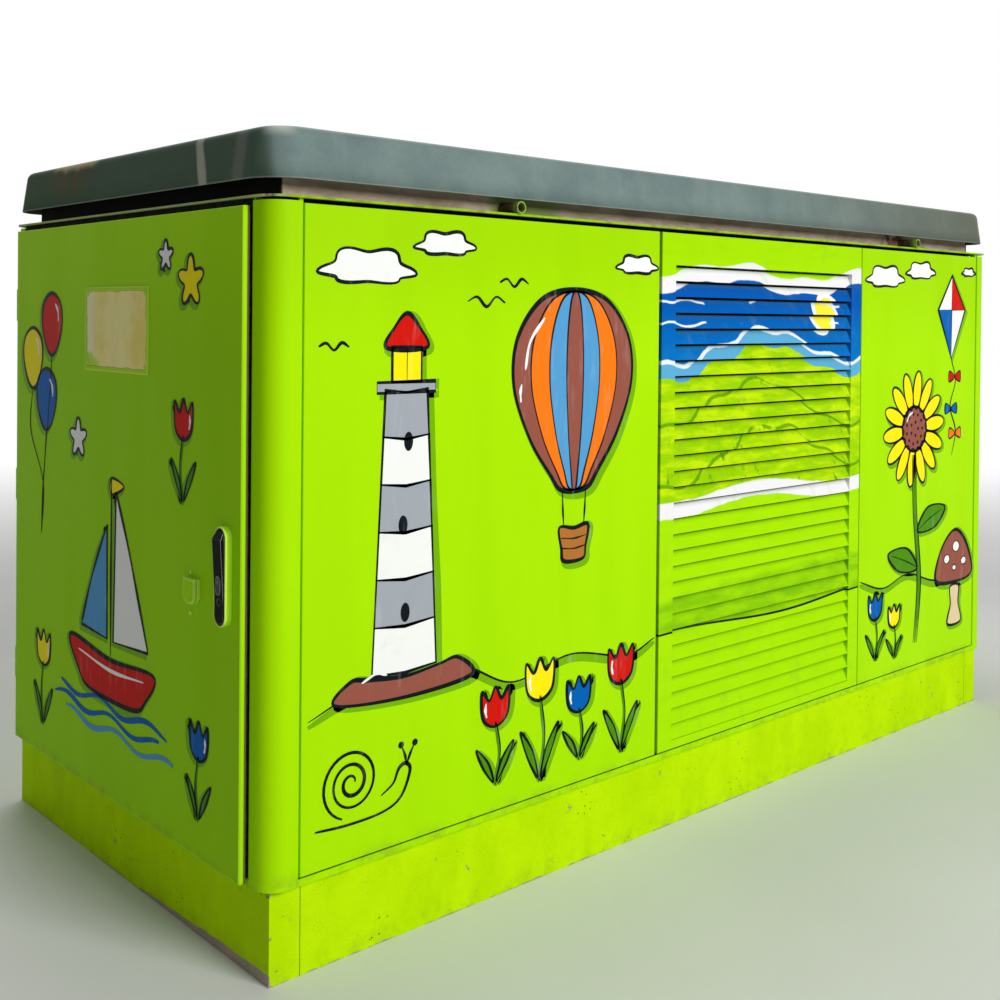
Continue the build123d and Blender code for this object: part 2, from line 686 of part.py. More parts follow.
# Seal: a rubber ring on the leaf's folded edge that closes on the frame's land
with BuildPart() as door_seal:
    seal_width = DOOR_WIDTH - 2 * SEAL_INSET
    seal_height = DOOR_HEIGHT - 2 * SEAL_INSET
    with BuildSketch(Plane.YZ.offset(DOOR_BACK)):
        with Locations((0, DOOR_MID_Z)):
            Rectangle(seal_width, seal_height)
            Rectangle(seal_width - 2 * SEAL_WIDTH, seal_height - 2 * SEAL_WIDTH, mode=Mode.SUBTRACT)
    extrude(amount=DOOR_STANDOFF + DOOR_FRAME_SETBACK - SEAL_CLEARANCE)
keep_both_ends(door_seal, "door_seal")

# Lift-off hinges: the lower half with the pin is welded to the rear post
HINGE_X = LEFT - HINGE_BARREL_R - HINGE_PIN_R / 2
HINGE_Y = DOOR_WIDTH / 2 + HINGE_OFFSET
with BuildPart() as hinge_bases:
    hinge_places = [(HINGE_X, HINGE_Y, level) for level in HINGE_LEVELS]
    with Locations(hinge_places):
        Cylinder(HINGE_BARREL_R, HINGE_HALF, align=(Align.CENTER, Align.CENTER, Align.MAX))
        Cylinder(
            HINGE_PIN_R,
            HINGE_HALF - HINGE_PIN_R,
            align=(Align.CENTER, Align.CENTER, Align.MIN),
        )
        Box(
            LEFT - HINGE_X,
            HINGE_BARREL_R,
            HINGE_HALF,
            align=(Align.MIN, Align.CENTER, Align.MAX),
        )
keep_both_ends(hinge_bases, "hinge_bases")

# The upper half turns on the pin and is welded to the leaf's edge
with BuildPart() as hinge_barrels:
    barrel_places = [(HINGE_X, HINGE_Y, level + HINGE_WASHER_GAP) for level in HINGE_LEVELS]
    with Locations(barrel_places):
        Cylinder(HINGE_BARREL_R, HINGE_HALF, align=(Align.CENTER, Align.CENTER, Align.MIN))
        Box(
            HINGE_BARREL_R,
            HINGE_OFFSET,
            HINGE_HALF,
            align=(Align.CENTER, Align.MAX, Align.MIN),
        )
        Cylinder(
            HINGE_PIN_R + HINGE_CLEARANCE,
            HINGE_HALF - SHEET,
            align=(Align.CENTER, Align.CENTER, Align.MIN),
            mode=Mode.SUBTRACT,
        )
keep_both_ends(hinge_barrels, "hinge_barrels")

# Lock gear on the leaf's inside: the case behind the handle and two rods, drawn back
with BuildPart() as lock_gear:
    with BuildSketch(door_inside):
        with Locations((HANDLE_Y, HANDLE_MID_Z)):
            Rectangle(GEAR_CASE_WIDTH, GEAR_CASE_HEIGHT)
    extrude(amount=GEAR_CASE_DEPTH)
    with BuildSketch(door_inside):
        with Locations((HANDLE_Y, DOOR_MID_Z)):
            Rectangle(ROD_WIDTH, DOOR_HEIGHT - 2 * ROD_MARGIN)
    extrude(amount=ROD_THICK)
keep_both_ends(lock_gear, "lock_gear")

# Handle housing: a moulded oval dish screwed on the leaf, with the lever's pin across it
HANDLE_TOP = HANDLE_MID_Z + HANDLE_LENGTH / 2
PIVOT_Z = HANDLE_TOP - LEVER_PIVOT_DROP
PIVOT_X = DOOR_FACE - HANDLE_PROUD - LEVER_PROUD + LEVER_PIVOT_DEPTH
with BuildPart() as handle_housing:
    with BuildSketch(Plane.YZ.offset(DOOR_FACE)):
        with Locations((HANDLE_Y, HANDLE_MID_Z)):
            SlotOverall(HANDLE_LENGTH, HANDLE_WIDTH, rotation=90)
    extrude(amount=-HANDLE_PROUD)
    chamfer(handle_housing.edges().group_by(Axis.X)[0], length=HANDLE_EDGE)
    with BuildSketch(Plane.YZ.offset(DOOR_FACE - HANDLE_PROUD + HANDLE_POCKET)):
        with Locations((HANDLE_Y, HANDLE_MID_Z)):
            SlotOverall(HANDLE_LENGTH - 2 * HANDLE_RIM, HANDLE_WIDTH - 2 * HANDLE_RIM, rotation=90)
    extrude(amount=-HANDLE_POCKET, mode=Mode.SUBTRACT)
    pin_rise = HANDLE_WIDTH / 2 - LEVER_PIVOT_DROP
    pin_length = 2 * math.sqrt((HANDLE_WIDTH / 2 - HANDLE_RIM / 2) ** 2 - pin_rise**2)
    with Locations(Location((PIVOT_X, HANDLE_Y, PIVOT_Z), (90, 0, 0))):
        Cylinder(LEVER_PIN_R, pin_length)
keep_both_ends(handle_housing, "handle_housing")

# Lever: swings out of the housing about the pin. Its grip stands out most near the top
LEVER_FACE = DOOR_FACE - HANDLE_PROUD - LEVER_PROUD
with BuildPart() as lever_grip:
    grip_inset = 2 * (HANDLE_RIM + LEVER_GAP + LEVER_EDGE)
    with BuildSketch(Plane.YZ.offset(LEVER_FACE)):
        with Locations((HANDLE_Y, HANDLE_MID_Z)):
            SlotOverall(HANDLE_LENGTH - grip_inset, HANDLE_WIDTH - grip_inset, rotation=90)
    extrude(amount=-LEVER_CREST)
    with BuildSketch(Plane.XZ.offset(-HANDLE_Y)) as grip_side:
        with BuildLine():
            Polyline(
                (LEVER_FACE, PIVOT_Z),
                (LEVER_FACE - LEVER_CREST, PIVOT_Z - LEVER_CREST_DROP),
                (LEVER_FACE, PIVOT_Z - LEVER_CREST_DROP - LEVER_CREST_LENGTH),
                close=True,
            )
        make_face()
    extrude(grip_side.sketch, amount=HANDLE_WIDTH, both=True, mode=Mode.INTERSECT)
with BuildPart() as handle_lever:
    lever_inset = 2 * (HANDLE_RIM + LEVER_GAP)
    with BuildSketch(Plane.YZ.offset(LEVER_FACE)):
        with Locations((HANDLE_Y, HANDLE_MID_Z)):
            SlotOverall(HANDLE_LENGTH - lever_inset, HANDLE_WIDTH - lever_inset, rotation=90)
    extrude(amount=LEVER_THICK)
    chamfer(handle_lever.edges().group_by(Axis.X)[0], length=LEVER_EDGE)
    add(lever_grip.part)
    # Seen from the side, all above the pin is cut to a slim wedge that clears the dish as it turns
    with BuildSketch(Plane.XZ.offset(-HANDLE_Y)) as side_view:
        with Locations((PIVOT_X, PIVOT_Z)):
            Rectangle(4 * LEVER_THICK, HANDLE_WIDTH, align=(Align.CENTER, Align.MIN))
            with BuildLine():
                Polyline(
                    (PIVOT_X - LEVER_PIVOT_DEPTH, PIVOT_Z),
                    (PIVOT_X + LEVER_THICK - LEVER_PIVOT_DEPTH, PIVOT_Z),
                    (PIVOT_X + LEVER_TIP, PIVOT_Z + LEVER_RISE / 2),
                    (PIVOT_X + LEVER_TIP, PIVOT_Z + LEVER_RISE),
                    (PIVOT_X, PIVOT_Z + LEVER_RISE),
                    close=True,
                )
            make_face(mode=Mode.SUBTRACT)
    extrude(side_view.sketch, amount=HANDLE_WIDTH, both=True, mode=Mode.SUBTRACT)
    with Locations(Location((PIVOT_X, HANDLE_Y, PIVOT_Z), (90, 0, 0))):
        Cylinder(LEVER_PIN_R + LEVER_BORE_CLEARANCE, HANDLE_WIDTH, mode=Mode.SUBTRACT)
    # Seat of the lock cylinder and the small screw seat under it
    crest_plane = Plane.YZ.offset(LEVER_FACE - LEVER_CREST)
    with BuildSketch(crest_plane):
        with Locations((HANDLE_Y, HANDLE_MID_Z - CYLINDER_DROP)):
            SlotOverall(CYLINDER_LENGTH, CYLINDER_WIDTH, rotation=90)
    extrude(amount=LEVER_CREST + LEVER_THICK, mode=Mode.SUBTRACT)
    with BuildSketch(crest_plane):
        with Locations((HANDLE_Y, HANDLE_MID_Z - SCREW_DROP)):
            Circle(SCREW_R)
    extrude(amount=LEVER_CREST + LEVER_PROUD, mode=Mode.SUBTRACT)
keep_both_ends(handle_lever, "handle_lever")

# Lock cylinder, pressed into the lever, with a key slot
with BuildPart() as lock_cylinder:
    with BuildSketch(Plane.YZ.offset(LEVER_FACE + LEVER_THICK)):
        with Locations((HANDLE_Y, HANDLE_MID_Z - CYLINDER_DROP)):
            SlotOverall(CYLINDER_LENGTH, CYLINDER_WIDTH, rotation=90)
    extrude(amount=-(LEVER_THICK + CYLINDER_PROUD))
    with BuildSketch(Plane.YZ.offset(LEVER_FACE - CYLINDER_PROUD)) as key_slot:
        with Locations((HANDLE_Y, HANDLE_MID_Z - CYLINDER_DROP + CYLINDER_WIDTH / 2)):
            Rectangle(LEVER_EDGE, CYLINDER_WIDTH / 2)
    extrude(amount=LEVER_EDGE, mode=Mode.SUBTRACT)
keep_both_ends(lock_cylinder, "lock_cylinder")

# Key hood: a small shield with a straight top and a round foot, a lug beside it and two rivets
with BuildPart() as key_hood:
    hood_y = FRONT + HOOD_FROM_END
    with BuildSketch(Plane.YZ.offset(DOOR_FACE)) as shield:
        with Locations((hood_y, HOOD_TOP_Z)):
            Rectangle(HOOD_WIDTH, HOOD_HEIGHT, align=(Align.CENTER, Align.MAX))
        fillet(shield.vertices().group_by(Axis.Y)[0], radius=HOOD_FOOT_RADIUS)
    extrude(amount=-HOOD_PROUD)
    chamfer(key_hood.edges().group_by(Axis.X)[0], length=HOOD_EDGE)
    lug_y = hood_y - HOOD_WIDTH / 2 - HOOD_LUG_GAP - HOOD_LUG_WIDTH / 2
    with BuildSketch(Plane.YZ.offset(DOOR_FACE)):
        with Locations((lug_y, HOOD_TOP_Z)):
            Rectangle(HOOD_LUG_WIDTH, HOOD_LUG_HEIGHT, align=(Align.CENTER, Align.MAX))
    extrude(amount=-HOOD_LUG_PROUD)
    rivet_levels = (HOOD_TOP_Z + RIVET_ABOVE_HOOD, HOOD_TOP_Z - HOOD_HEIGHT - RIVET_BELOW_HOOD)
    rivet_places = [(DOOR_FACE, hood_y + RIVET_SHIFT, level) for level in rivet_levels]
    with Locations([Location(place, (0, -90, 0)) for place in rivet_places]):
        Cylinder(RIVET_R, RIVET_HEIGHT, align=(Align.CENTER, Align.CENTER, Align.MIN))
keep_both_ends(key_hood, "key_hood")

# Sign plate on the left door, left bare: a pressed plate with a rim, held by four rivets
with BuildPart() as sign_plate:
    sign_middle = (FRONT + SIGN_FROM_END, DOOR_TOP - SIGN_BELOW_TOP)
    with BuildSketch(Plane.YZ.offset(DOOR_FACE)):
        with Locations(sign_middle):
            Rectangle(SIGN_LENGTH, SIGN_HEIGHT)
    extrude(amount=-SIGN_THICK)
    chamfer(sign_plate.edges().group_by(Axis.X)[0], length=SIGN_RECESS)
    with BuildSketch(Plane.YZ.offset(DOOR_FACE - SIGN_THICK)):
        with Locations(sign_middle):
            Rectangle(SIGN_LENGTH - 2 * SIGN_RIM, SIGN_HEIGHT - 2 * SIGN_RIM)
    extrude(amount=SIGN_RECESS, mode=Mode.SUBTRACT)
    with BuildSketch(Plane.YZ.offset(DOOR_FACE - SIGN_THICK + SIGN_RECESS)):
        with Locations(sign_middle):
            with GridLocations(SIGN_LENGTH - 4 * SIGN_RIM, SIGN_HEIGHT - 4 * SIGN_RIM, 2, 2):
                Circle(SIGN_RIVET_R)
    extrude(amount=-RIVET_HEIGHT)
keep(sign_plate, "sign_plate")

# Transformer rails: two folded channels across the base frame's ledge
CENTRE_X = (SEAM_LEFT_X + SEAM_RIGHT_X) / 2
with BuildPart() as transformer_rails:
    rail_length = BODY_DEPTH - 2 * (BASE_WIDTH + FIT)
    with BuildSketch(Plane.XZ.offset(rail_length / 2)):
        with Locations((CENTRE_X, LEDGE_Z)):
            with GridLocations(RAIL_SPACING, 0, 2, 1):
                Rectangle(RAIL_WIDTH, RAIL_HEIGHT, align=(Align.CENTER, Align.MIN))
                Rectangle(
                    RAIL_WIDTH - 2 * SHEET,
                    RAIL_HEIGHT - SHEET,
                    align=(Align.CENTER, Align.MIN),
                    mode=Mode.SUBTRACT,
                )
    extrude(amount=-rail_length)
keep(transformer_rails, "transformer_rails")

# Transformer tank with cooling fins all round and two foot beams on the rails
TANK_Z = LEDGE_Z + RAIL_HEIGHT
with BuildPart() as transformer_tank:
    with BuildSketch(Plane.XY.offset(TANK_Z)):
        with Locations((CENTRE_X, 0)):
            Rectangle(TANK_LENGTH, TANK_DEPTH)
            with GridLocations(0, TANK_DEPTH - 2 * FIN_MARGIN, 1, 2):
                Rectangle(RAIL_SPACING + RAIL_WIDTH, FIN_MARGIN)
    extrude(amount=RAIL_HEIGHT)
    with BuildSketch(Plane.XY.offset(TANK_Z + RAIL_HEIGHT)):
        with Locations((CENTRE_X, 0)):
            Rectangle(TANK_LENGTH, TANK_DEPTH)
    extrude(amount=TANK_HEIGHT - RAIL_HEIGHT)
    with BuildSketch(Plane.XY.offset(TANK_Z + FIN_MARGIN)) as fins:
        with Locations((CENTRE_X, 0)):
            end_fins = int((TANK_DEPTH - 2 * FIN_MARGIN) / FIN_PITCH) + 1
            with GridLocations(0, FIN_PITCH, 1, end_fins):
                Rectangle(TANK_LENGTH + 2 * FIN_DEPTH, FIN_THICK)
            side_fins = int((TANK_LENGTH - 2 * FIN_MARGIN) / FIN_PITCH) + 1
            with GridLocations(FIN_PITCH, 0, side_fins, 1):
                Rectangle(FIN_THICK, TANK_DEPTH + 2 * FIN_DEPTH)
            Rectangle(TANK_LENGTH - FIN_MARGIN, TANK_DEPTH - FIN_MARGIN)
    extrude(amount=TANK_HEIGHT - 2 * FIN_MARGIN)
keep(transformer_tank, "transformer_tank")

# Transformer cover, bolted to the tank
COVER_Z = TANK_Z + TANK_HEIGHT
COVER_TOP = COVER_Z + TANK_COVER_THICK
with BuildPart() as transformer_cover:
    with BuildSketch(Plane.XY.offset(COVER_Z)):
        with Locations((CENTRE_X, 0)):
            RectangleRounded(
                TANK_LENGTH + 2 * TANK_COVER_LIP, TANK_DEPTH + 2 * TANK_COVER_LIP, TANK_COVER_LIP
            )
    extrude(amount=TANK_COVER_THICK)
keep(transformer_cover, "transformer_cover")


def bushings(height, foot_r, top_r, offset_x, spacing, count):
    """Adds a row of tapered insulators across the cover, each with a terminal stud."""
    stud = BUSHING_STUD
    lean = math.degrees(math.atan((foot_r - top_r) / (height - stud)))
    with BuildPart(mode=Mode.PRIVATE) as body:
        with BuildSketch():
            RegularPolygon(foot_r, BUSHING_SIDES)
        extrude(amount=height - stud, taper=lean)
    with Locations((CENTRE_X + offset_x, 0, COVER_TOP)):
        with GridLocations(0, spacing, 1, count):
            add(body.part)
    with Locations((CENTRE_X + offset_x, 0, COVER_TOP + height - stud)):
        with GridLocations(0, spacing, 1, count):
            Box(top_r, top_r, stud, align=(Align.CENTER, Align.CENTER, Align.MIN))


# High voltage bushings towards the switchgear's side, low voltage bushings opposite
with BuildPart() as hv_bushings:
    bushings(HV_BUSHING_HEIGHT, HV_FOOT_R, HV_TOP_R, -BUSHING_OFFSET, HV_SPACING, 3)
keep(hv_bushings, "transformer_hv_bushings")

with BuildPart() as lv_bushings:
    bushings(LV_BUSHING_HEIGHT, LV_FOOT_R, LV_TOP_R, BUSHING_OFFSET, LV_SPACING, 4)
keep(lv_bushings, "transformer_lv_bushings")

# Switchgear base: an open frame over the floor's cable slot
GEAR_X = LEFT + GEAR_FROM_END
GEAR_DEPTH = SEAM_LEFT_X - GEAR_BACK_GAP - GEAR_X
GEAR_MID_X = GEAR_X + GEAR_DEPTH / 2
GEAR_Z = FLOOR_Z + GEAR_PLINTH
GEAR_HEIGHT = WEB_Z - GEAR_TOP_GAP - GEAR_Z
with BuildPart() as switchgear_base:
    with BuildSketch(Plane.XY.offset(FLOOR_Z)):
        with Locations((GEAR_MID_X, 0)):
            Rectangle(GEAR_DEPTH, GEAR_WIDTH)
            Rectangle(GEAR_DEPTH - RAIL_WIDTH, GEAR_WIDTH - RAIL_WIDTH, mode=Mode.SUBTRACT)
    extrude(amount=GEAR_PLINTH)
keep(switchgear_base, "switchgear_base")

# Switchgear body: the sealed steel enclosure
with BuildPart() as switchgear_body:
    with BuildSketch(Plane.XY.offset(GEAR_Z)):
        with Locations((GEAR_MID_X, 0)):
            Rectangle(GEAR_DEPTH, GEAR_WIDTH)
    extrude(amount=GEAR_HEIGHT)
    chamfer(switchgear_body.edges().filter_by(Axis.Z), length=GEAR_CHAMFER)
keep(switchgear_body, "switchgear_body")

# Cable compartment covers, one for each bay
BAY_WIDTH = (GEAR_WIDTH - 2 * GEAR_CHAMFER) / GEAR_BAYS
COVER_MID_Z = GEAR_Z + COVER_GAP + COVER_HEIGHT / 2
with BuildPart() as switchgear_covers:
    with BuildSketch(Plane.YZ.offset(GEAR_X)):
        with Locations((0, COVER_MID_Z)):
            with GridLocations(BAY_WIDTH, 0, GEAR_BAYS, 1):
                Rectangle(BAY_WIDTH - COVER_GAP, COVER_HEIGHT)
    extrude(amount=-COVER_THICK)
    chamfer(switchgear_covers.edges().group_by(Axis.X)[0], length=COVER_THICK / 4)
keep(switchgear_covers, "switchgear_covers")

# Control panel above the covers, with a sunk field for each bay
CONTROL_Z = COVER_MID_Z + COVER_HEIGHT / 2 + COVER_GAP
CONTROL_HEIGHT = GEAR_Z + GEAR_HEIGHT - CONTROL_TOP_MARGIN - CONTROL_Z
CONTROL_MID_Z = CONTROL_Z + CONTROL_HEIGHT / 2
CONTROL_FIELD_X = GEAR_X - CONTROL_THICK + CONTROL_RECESS
with BuildPart() as control_panel:
    with BuildSketch(Plane.YZ.offset(GEAR_X)):
        with Locations((0, CONTROL_MID_Z)):
            Rectangle(GEAR_BAYS * BAY_WIDTH - COVER_GAP, CONTROL_HEIGHT)
    extrude(amount=-CONTROL_THICK)
    chamfer(control_panel.edges().group_by(Axis.X)[0], length=COVER_THICK / 4)
    with BuildSketch(Plane.YZ.offset(GEAR_X - CONTROL_THICK)):
        with Locations((0, CONTROL_MID_Z)):
            with GridLocations(BAY_WIDTH, 0, GEAR_BAYS, 1):
                Rectangle(BAY_WIDTH - 5 * COVER_GAP, CONTROL_HEIGHT - 5 * COVER_GAP)
    extrude(amount=CONTROL_RECESS, mode=Mode.SUBTRACT)
keep(control_panel, "switchgear_control_panel")

# Switch shafts, two in each field, with hexagon ends for the operating lever
with BuildPart() as switch_shafts:
    with BuildSketch(Plane.YZ.offset(CONTROL_FIELD_X)):
        with Locations((0, CONTROL_MID_Z)):
            with GridLocations(BAY_WIDTH, CONTROL_HEIGHT / 2, GEAR_BAYS, 2):
                RegularPolygon(SWITCH_HEX_R, 6)
    extrude(amount=-SWITCH_HEX_LENGTH)
keep(switch_shafts, "switchgear_switch_shafts")

# Low voltage board: an upright frame of square bar on the right compartment's floor
BOARD_X = RIGHT - BOARD_FROM_END
BOARD_TOP = WEB_Z - BOARD_TOP_GAP
BOARD_HEIGHT = BOARD_TOP - FLOOR_Z
BUSBAR_MID_Z = BOARD_TOP - BUSBAR_BELOW_TOP
with BuildPart() as lv_frame:
    with BuildSketch(Plane.YZ.offset(BOARD_X - UPRIGHT_SIZE)):
        with Locations((0, FLOOR_Z)):
            bottom_middle = (Align.CENTER, Align.MIN)
            Rectangle(BOARD_WIDTH, BOARD_HEIGHT, align=bottom_middle)
            Rectangle(
                BOARD_WIDTH - 2 * UPRIGHT_SIZE,
                BOARD_HEIGHT - UPRIGHT_SIZE,
                align=bottom_middle,
                mode=Mode.SUBTRACT,
            )
    extrude(amount=UPRIGHT_SIZE)
keep(lv_frame, "lv_board_frame")

# Busbars, each on a stand-off block at both uprights
BUSBAR_SPAN = (BUSBAR_COUNT - 1) * BUSBAR_PITCH
BUSBAR_LEVELS = [BUSBAR_MID_Z - BUSBAR_SPAN / 2 + n * BUSBAR_PITCH for n in range(BUSBAR_COUNT)]
STRIP_X = BOARD_X + BUSBAR_STANDOFF + BUSBAR_THICK
with BuildPart() as lv_busbars:
    with BuildSketch(Plane.YZ.offset(BOARD_X)):
        for level in BUSBAR_LEVELS:
            with Locations((0, level)):
                with GridLocations(BOARD_WIDTH - UPRIGHT_SIZE, 0, 2, 1):
                    Rectangle(UPRIGHT_SIZE, BUSBAR_HEIGHT - BUSBAR_THICK)
    extrude(amount=BUSBAR_STANDOFF)
    with BuildSketch(Plane.YZ.offset(BOARD_X + BUSBAR_STANDOFF)):
        for level in BUSBAR_LEVELS:
            with Locations((0, level)):
                Rectangle(BOARD_WIDTH, BUSBAR_HEIGHT)
    extrude(amount=BUSBAR_THICK)
keep(lv_busbars, "lv_board_busbars")

# Fuse strips: one moulded base for each outgoing cable, screwed to the three busbars
with BuildPart() as fuse_strips:
    with BuildSketch(Plane.YZ.offset(STRIP_X)):
        with Locations((0, BUSBAR_MID_Z)):
            with GridLocations(STRIP_PITCH, 0, STRIP_COUNT, 1):
                Rectangle(STRIP_WIDTH, STRIP_HEIGHT)
    extrude(amount=STRIP_DEPTH)
    chamfer(fuse_strips.edges().group_by(Axis.X)[-1], length=COVER_THICK / 4)
    with BuildSketch(Plane.YZ.offset(STRIP_X + STRIP_DEPTH)):
        for level in BUSBAR_LEVELS:
            with Locations((0, level)):
                with GridLocations(STRIP_PITCH, 0, STRIP_COUNT, 1):
                    Rectangle(FUSE_WIDTH, FUSE_HEIGHT)
    extrude(amount=-FUSE_BLADE, mode=Mode.SUBTRACT)
keep(fuse_strips, "lv_fuse_strips")

# Fuse links, one for each phase, pushed into the pockets of the strips
with BuildPart() as fuse_links:
    with BuildSketch(Plane.YZ.offset(STRIP_X + STRIP_DEPTH - FUSE_BLADE)):
        for level in BUSBAR_LEVELS:
            with Locations((0, level)):
                with GridLocations(STRIP_PITCH, 0, STRIP_COUNT, 1):
                    Rectangle(FUSE_WIDTH, FUSE_HEIGHT)
    extrude(amount=FUSE_DEPTH)
keep(fuse_links, "lv_fuse_links")

# Neutral bar low down across the uprights, and the rail that clamps the cables
with BuildPart() as neutral_bar:
    with BuildSketch(Plane.YZ.offset(BOARD_X)):
        with Locations((0, NEUTRAL_Z)):
            Rectangle(BOARD_WIDTH, BUSBAR_HEIGHT)
    extrude(amount=BUSBAR_THICK)
keep(neutral_bar, "lv_neutral_bar")

with BuildPart() as cable_rail:
    with BuildSketch(Plane.YZ.offset(BOARD_X)):
        with Locations((0, CABLE_RAIL_Z)):
            Rectangle(BOARD_WIDTH, UPRIGHT_SIZE)
    extrude(amount=BUSBAR_STANDOFF)
    with BuildSketch(Plane.YZ.offset(BOARD_X + SHEET)):
        with Locations((0, CABLE_RAIL_Z)):
            Rectangle(BOARD_WIDTH, UPRIGHT_SIZE - 2 * SHEET)
    extrude(amount=BUSBAR_STANDOFF - SHEET, mode=Mode.SUBTRACT)
keep(cable_rail, "lv_cable_rail")
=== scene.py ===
"""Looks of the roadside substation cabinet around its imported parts. Metres, +Z up, front to -Y."""

import math

import bpy
import numpy as np
from mathutils import Matrix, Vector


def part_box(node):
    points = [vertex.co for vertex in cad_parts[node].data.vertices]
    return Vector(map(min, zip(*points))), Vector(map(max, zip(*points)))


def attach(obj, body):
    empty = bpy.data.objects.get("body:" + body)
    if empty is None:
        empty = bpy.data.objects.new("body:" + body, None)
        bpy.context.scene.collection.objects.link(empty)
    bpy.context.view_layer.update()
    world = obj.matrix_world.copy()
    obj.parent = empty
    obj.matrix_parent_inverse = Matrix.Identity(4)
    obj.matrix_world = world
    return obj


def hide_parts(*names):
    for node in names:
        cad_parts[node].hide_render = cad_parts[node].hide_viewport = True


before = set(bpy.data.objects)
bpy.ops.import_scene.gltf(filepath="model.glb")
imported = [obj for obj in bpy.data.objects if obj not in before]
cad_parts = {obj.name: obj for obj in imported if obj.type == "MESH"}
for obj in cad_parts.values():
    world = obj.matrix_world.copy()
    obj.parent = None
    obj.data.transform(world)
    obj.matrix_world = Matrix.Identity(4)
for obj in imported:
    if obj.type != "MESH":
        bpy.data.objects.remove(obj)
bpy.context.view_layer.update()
scene = bpy.context.scene
scene.view_settings.view_transform = "Standard"


# Camera: at eye height, a little left of the near corner, looking almost level along the front.
# The frame is the lower square of an upright picture, so the lens centre lies above its middle.
def placed(name, data, *columns):
    """An object with this data, at the origin, or with these x, y and z axes at the place given last."""
    thing = bpy.data.objects.new(name, data)
    scene.collection.objects.link(thing)
    if columns:
        pose = np.eye(4)
        pose[:3] = np.column_stack(columns)
        thing.matrix_world = Matrix(pose.tolist())
    return thing


EYE = np.array([-2.924, -2.938, 1.424])
YAW, PITCH, ROLL = np.radians([42.04, -0.62, 0.53])
PICTURE = 1000
FOCAL_PIXELS = 1241.1
LENS_CENTRE_DOWN = 331
SENSOR = 36
FAR_CLIP = 200
ahead = np.array([np.sin(YAW) * np.cos(PITCH), np.cos(YAW) * np.cos(PITCH), np.sin(PITCH)])
level_right = np.array([np.cos(YAW), -np.sin(YAW), 0.0])
level_up = np.cross(level_right, ahead)
right = np.cos(ROLL) * level_right + np.sin(ROLL) * level_up
up = np.cross(right, ahead)
lens = bpy.data.cameras.new("eye")
lens.sensor_width = SENSOR
lens.lens = FOCAL_PIXELS / PICTURE * SENSOR
lens.shift_y = (LENS_CENTRE_DOWN - PICTURE / 2) / PICTURE
lens.clip_end = FAR_CLIP
scene.camera = placed("eye", lens, right, up, -ahead, EYE)


# Plinth: cast concrete under the body, brushed over with the same lime paint. The paint has pits from
# the casting, chips along the arrises, splashed dirt and a bare strip where the ground once stood.
def tint(red, green, blue):
    """A colour given as 8-bit sRGB, in the linear numbers that a shader takes."""
    share = np.array([red, green, blue]) / 255
    linear = np.where(share <= 0.04045, share / 12.92, ((share + 0.055) / 1.055) ** 2.4)
    return (*linear.tolist(), 1.0)


class Wire:
    """One value in a material. Arithmetic on it adds Math nodes, and node() adds any other node."""

    def __init__(self, tree, socket=None):
        self.tree = tree
        self.socket = socket

    def node(self, kind, settings, values, out=0):
        """Adds a node: first its settings, then each socket's value or link; returns one output."""
        made = self.tree.nodes.new(f"ShaderNode{kind}")
        for name, setting in settings.items():
            setattr(made, name, setting)
        for name, value in values.items():
            if isinstance(value, Wire):
                self.tree.links.new(value.socket, made.inputs[name])
            else:
                made.inputs[name].default_value = value
        return Wire(self.tree, made.outputs[out])

    def math(self, operation, first, second=0.0):
        return self.node("Math", {"operation": operation}, {0: first, 1: second})

    def __add__(self, other):
        return self.math("ADD", self, other)

    def __sub__(self, other):
        return self.math("SUBTRACT", self, other)

    def __rsub__(self, other):
        return self.math("SUBTRACT", other, self)

    def __mul__(self, other):
        return self.math("MULTIPLY", self, other)

    __radd__ = __add__
    __rmul__ = __mul__

    def highest(self, other):
        return self.math("MAXIMUM", self, other)

    def lowest(self, other):
        return self.math("MINIMUM", self, other)

    def sine(self):
        return self.math("SINE", self)

    def size(self):
        return self.math("ABSOLUTE", self)

    def fraction(self):
        return self.math("FRACT", self)

    def diagonal(self, other):
        """The distance from zero when this and the other value lie at right angles."""
        return self.math("SQRT", self * self + other * other)

    def fade(self, low, high):
        """0 below low and 1 above high with a smooth step between; falls instead when low > high."""
        settings = {"interpolation_type": "SMOOTHSTEP"}
        return self.node("MapRange", settings, {0: self, 1: low, 2: high, 3: 0.0, 4: 1.0})

    def over(self, under, colour):
        """The colour laid over another one, this value being how much of it covers."""
        values = {0: self, 6: under, 7: colour}
        return self.node("Mix", {"data_type": "RGBA", "clamp_factor": True}, values, 2)


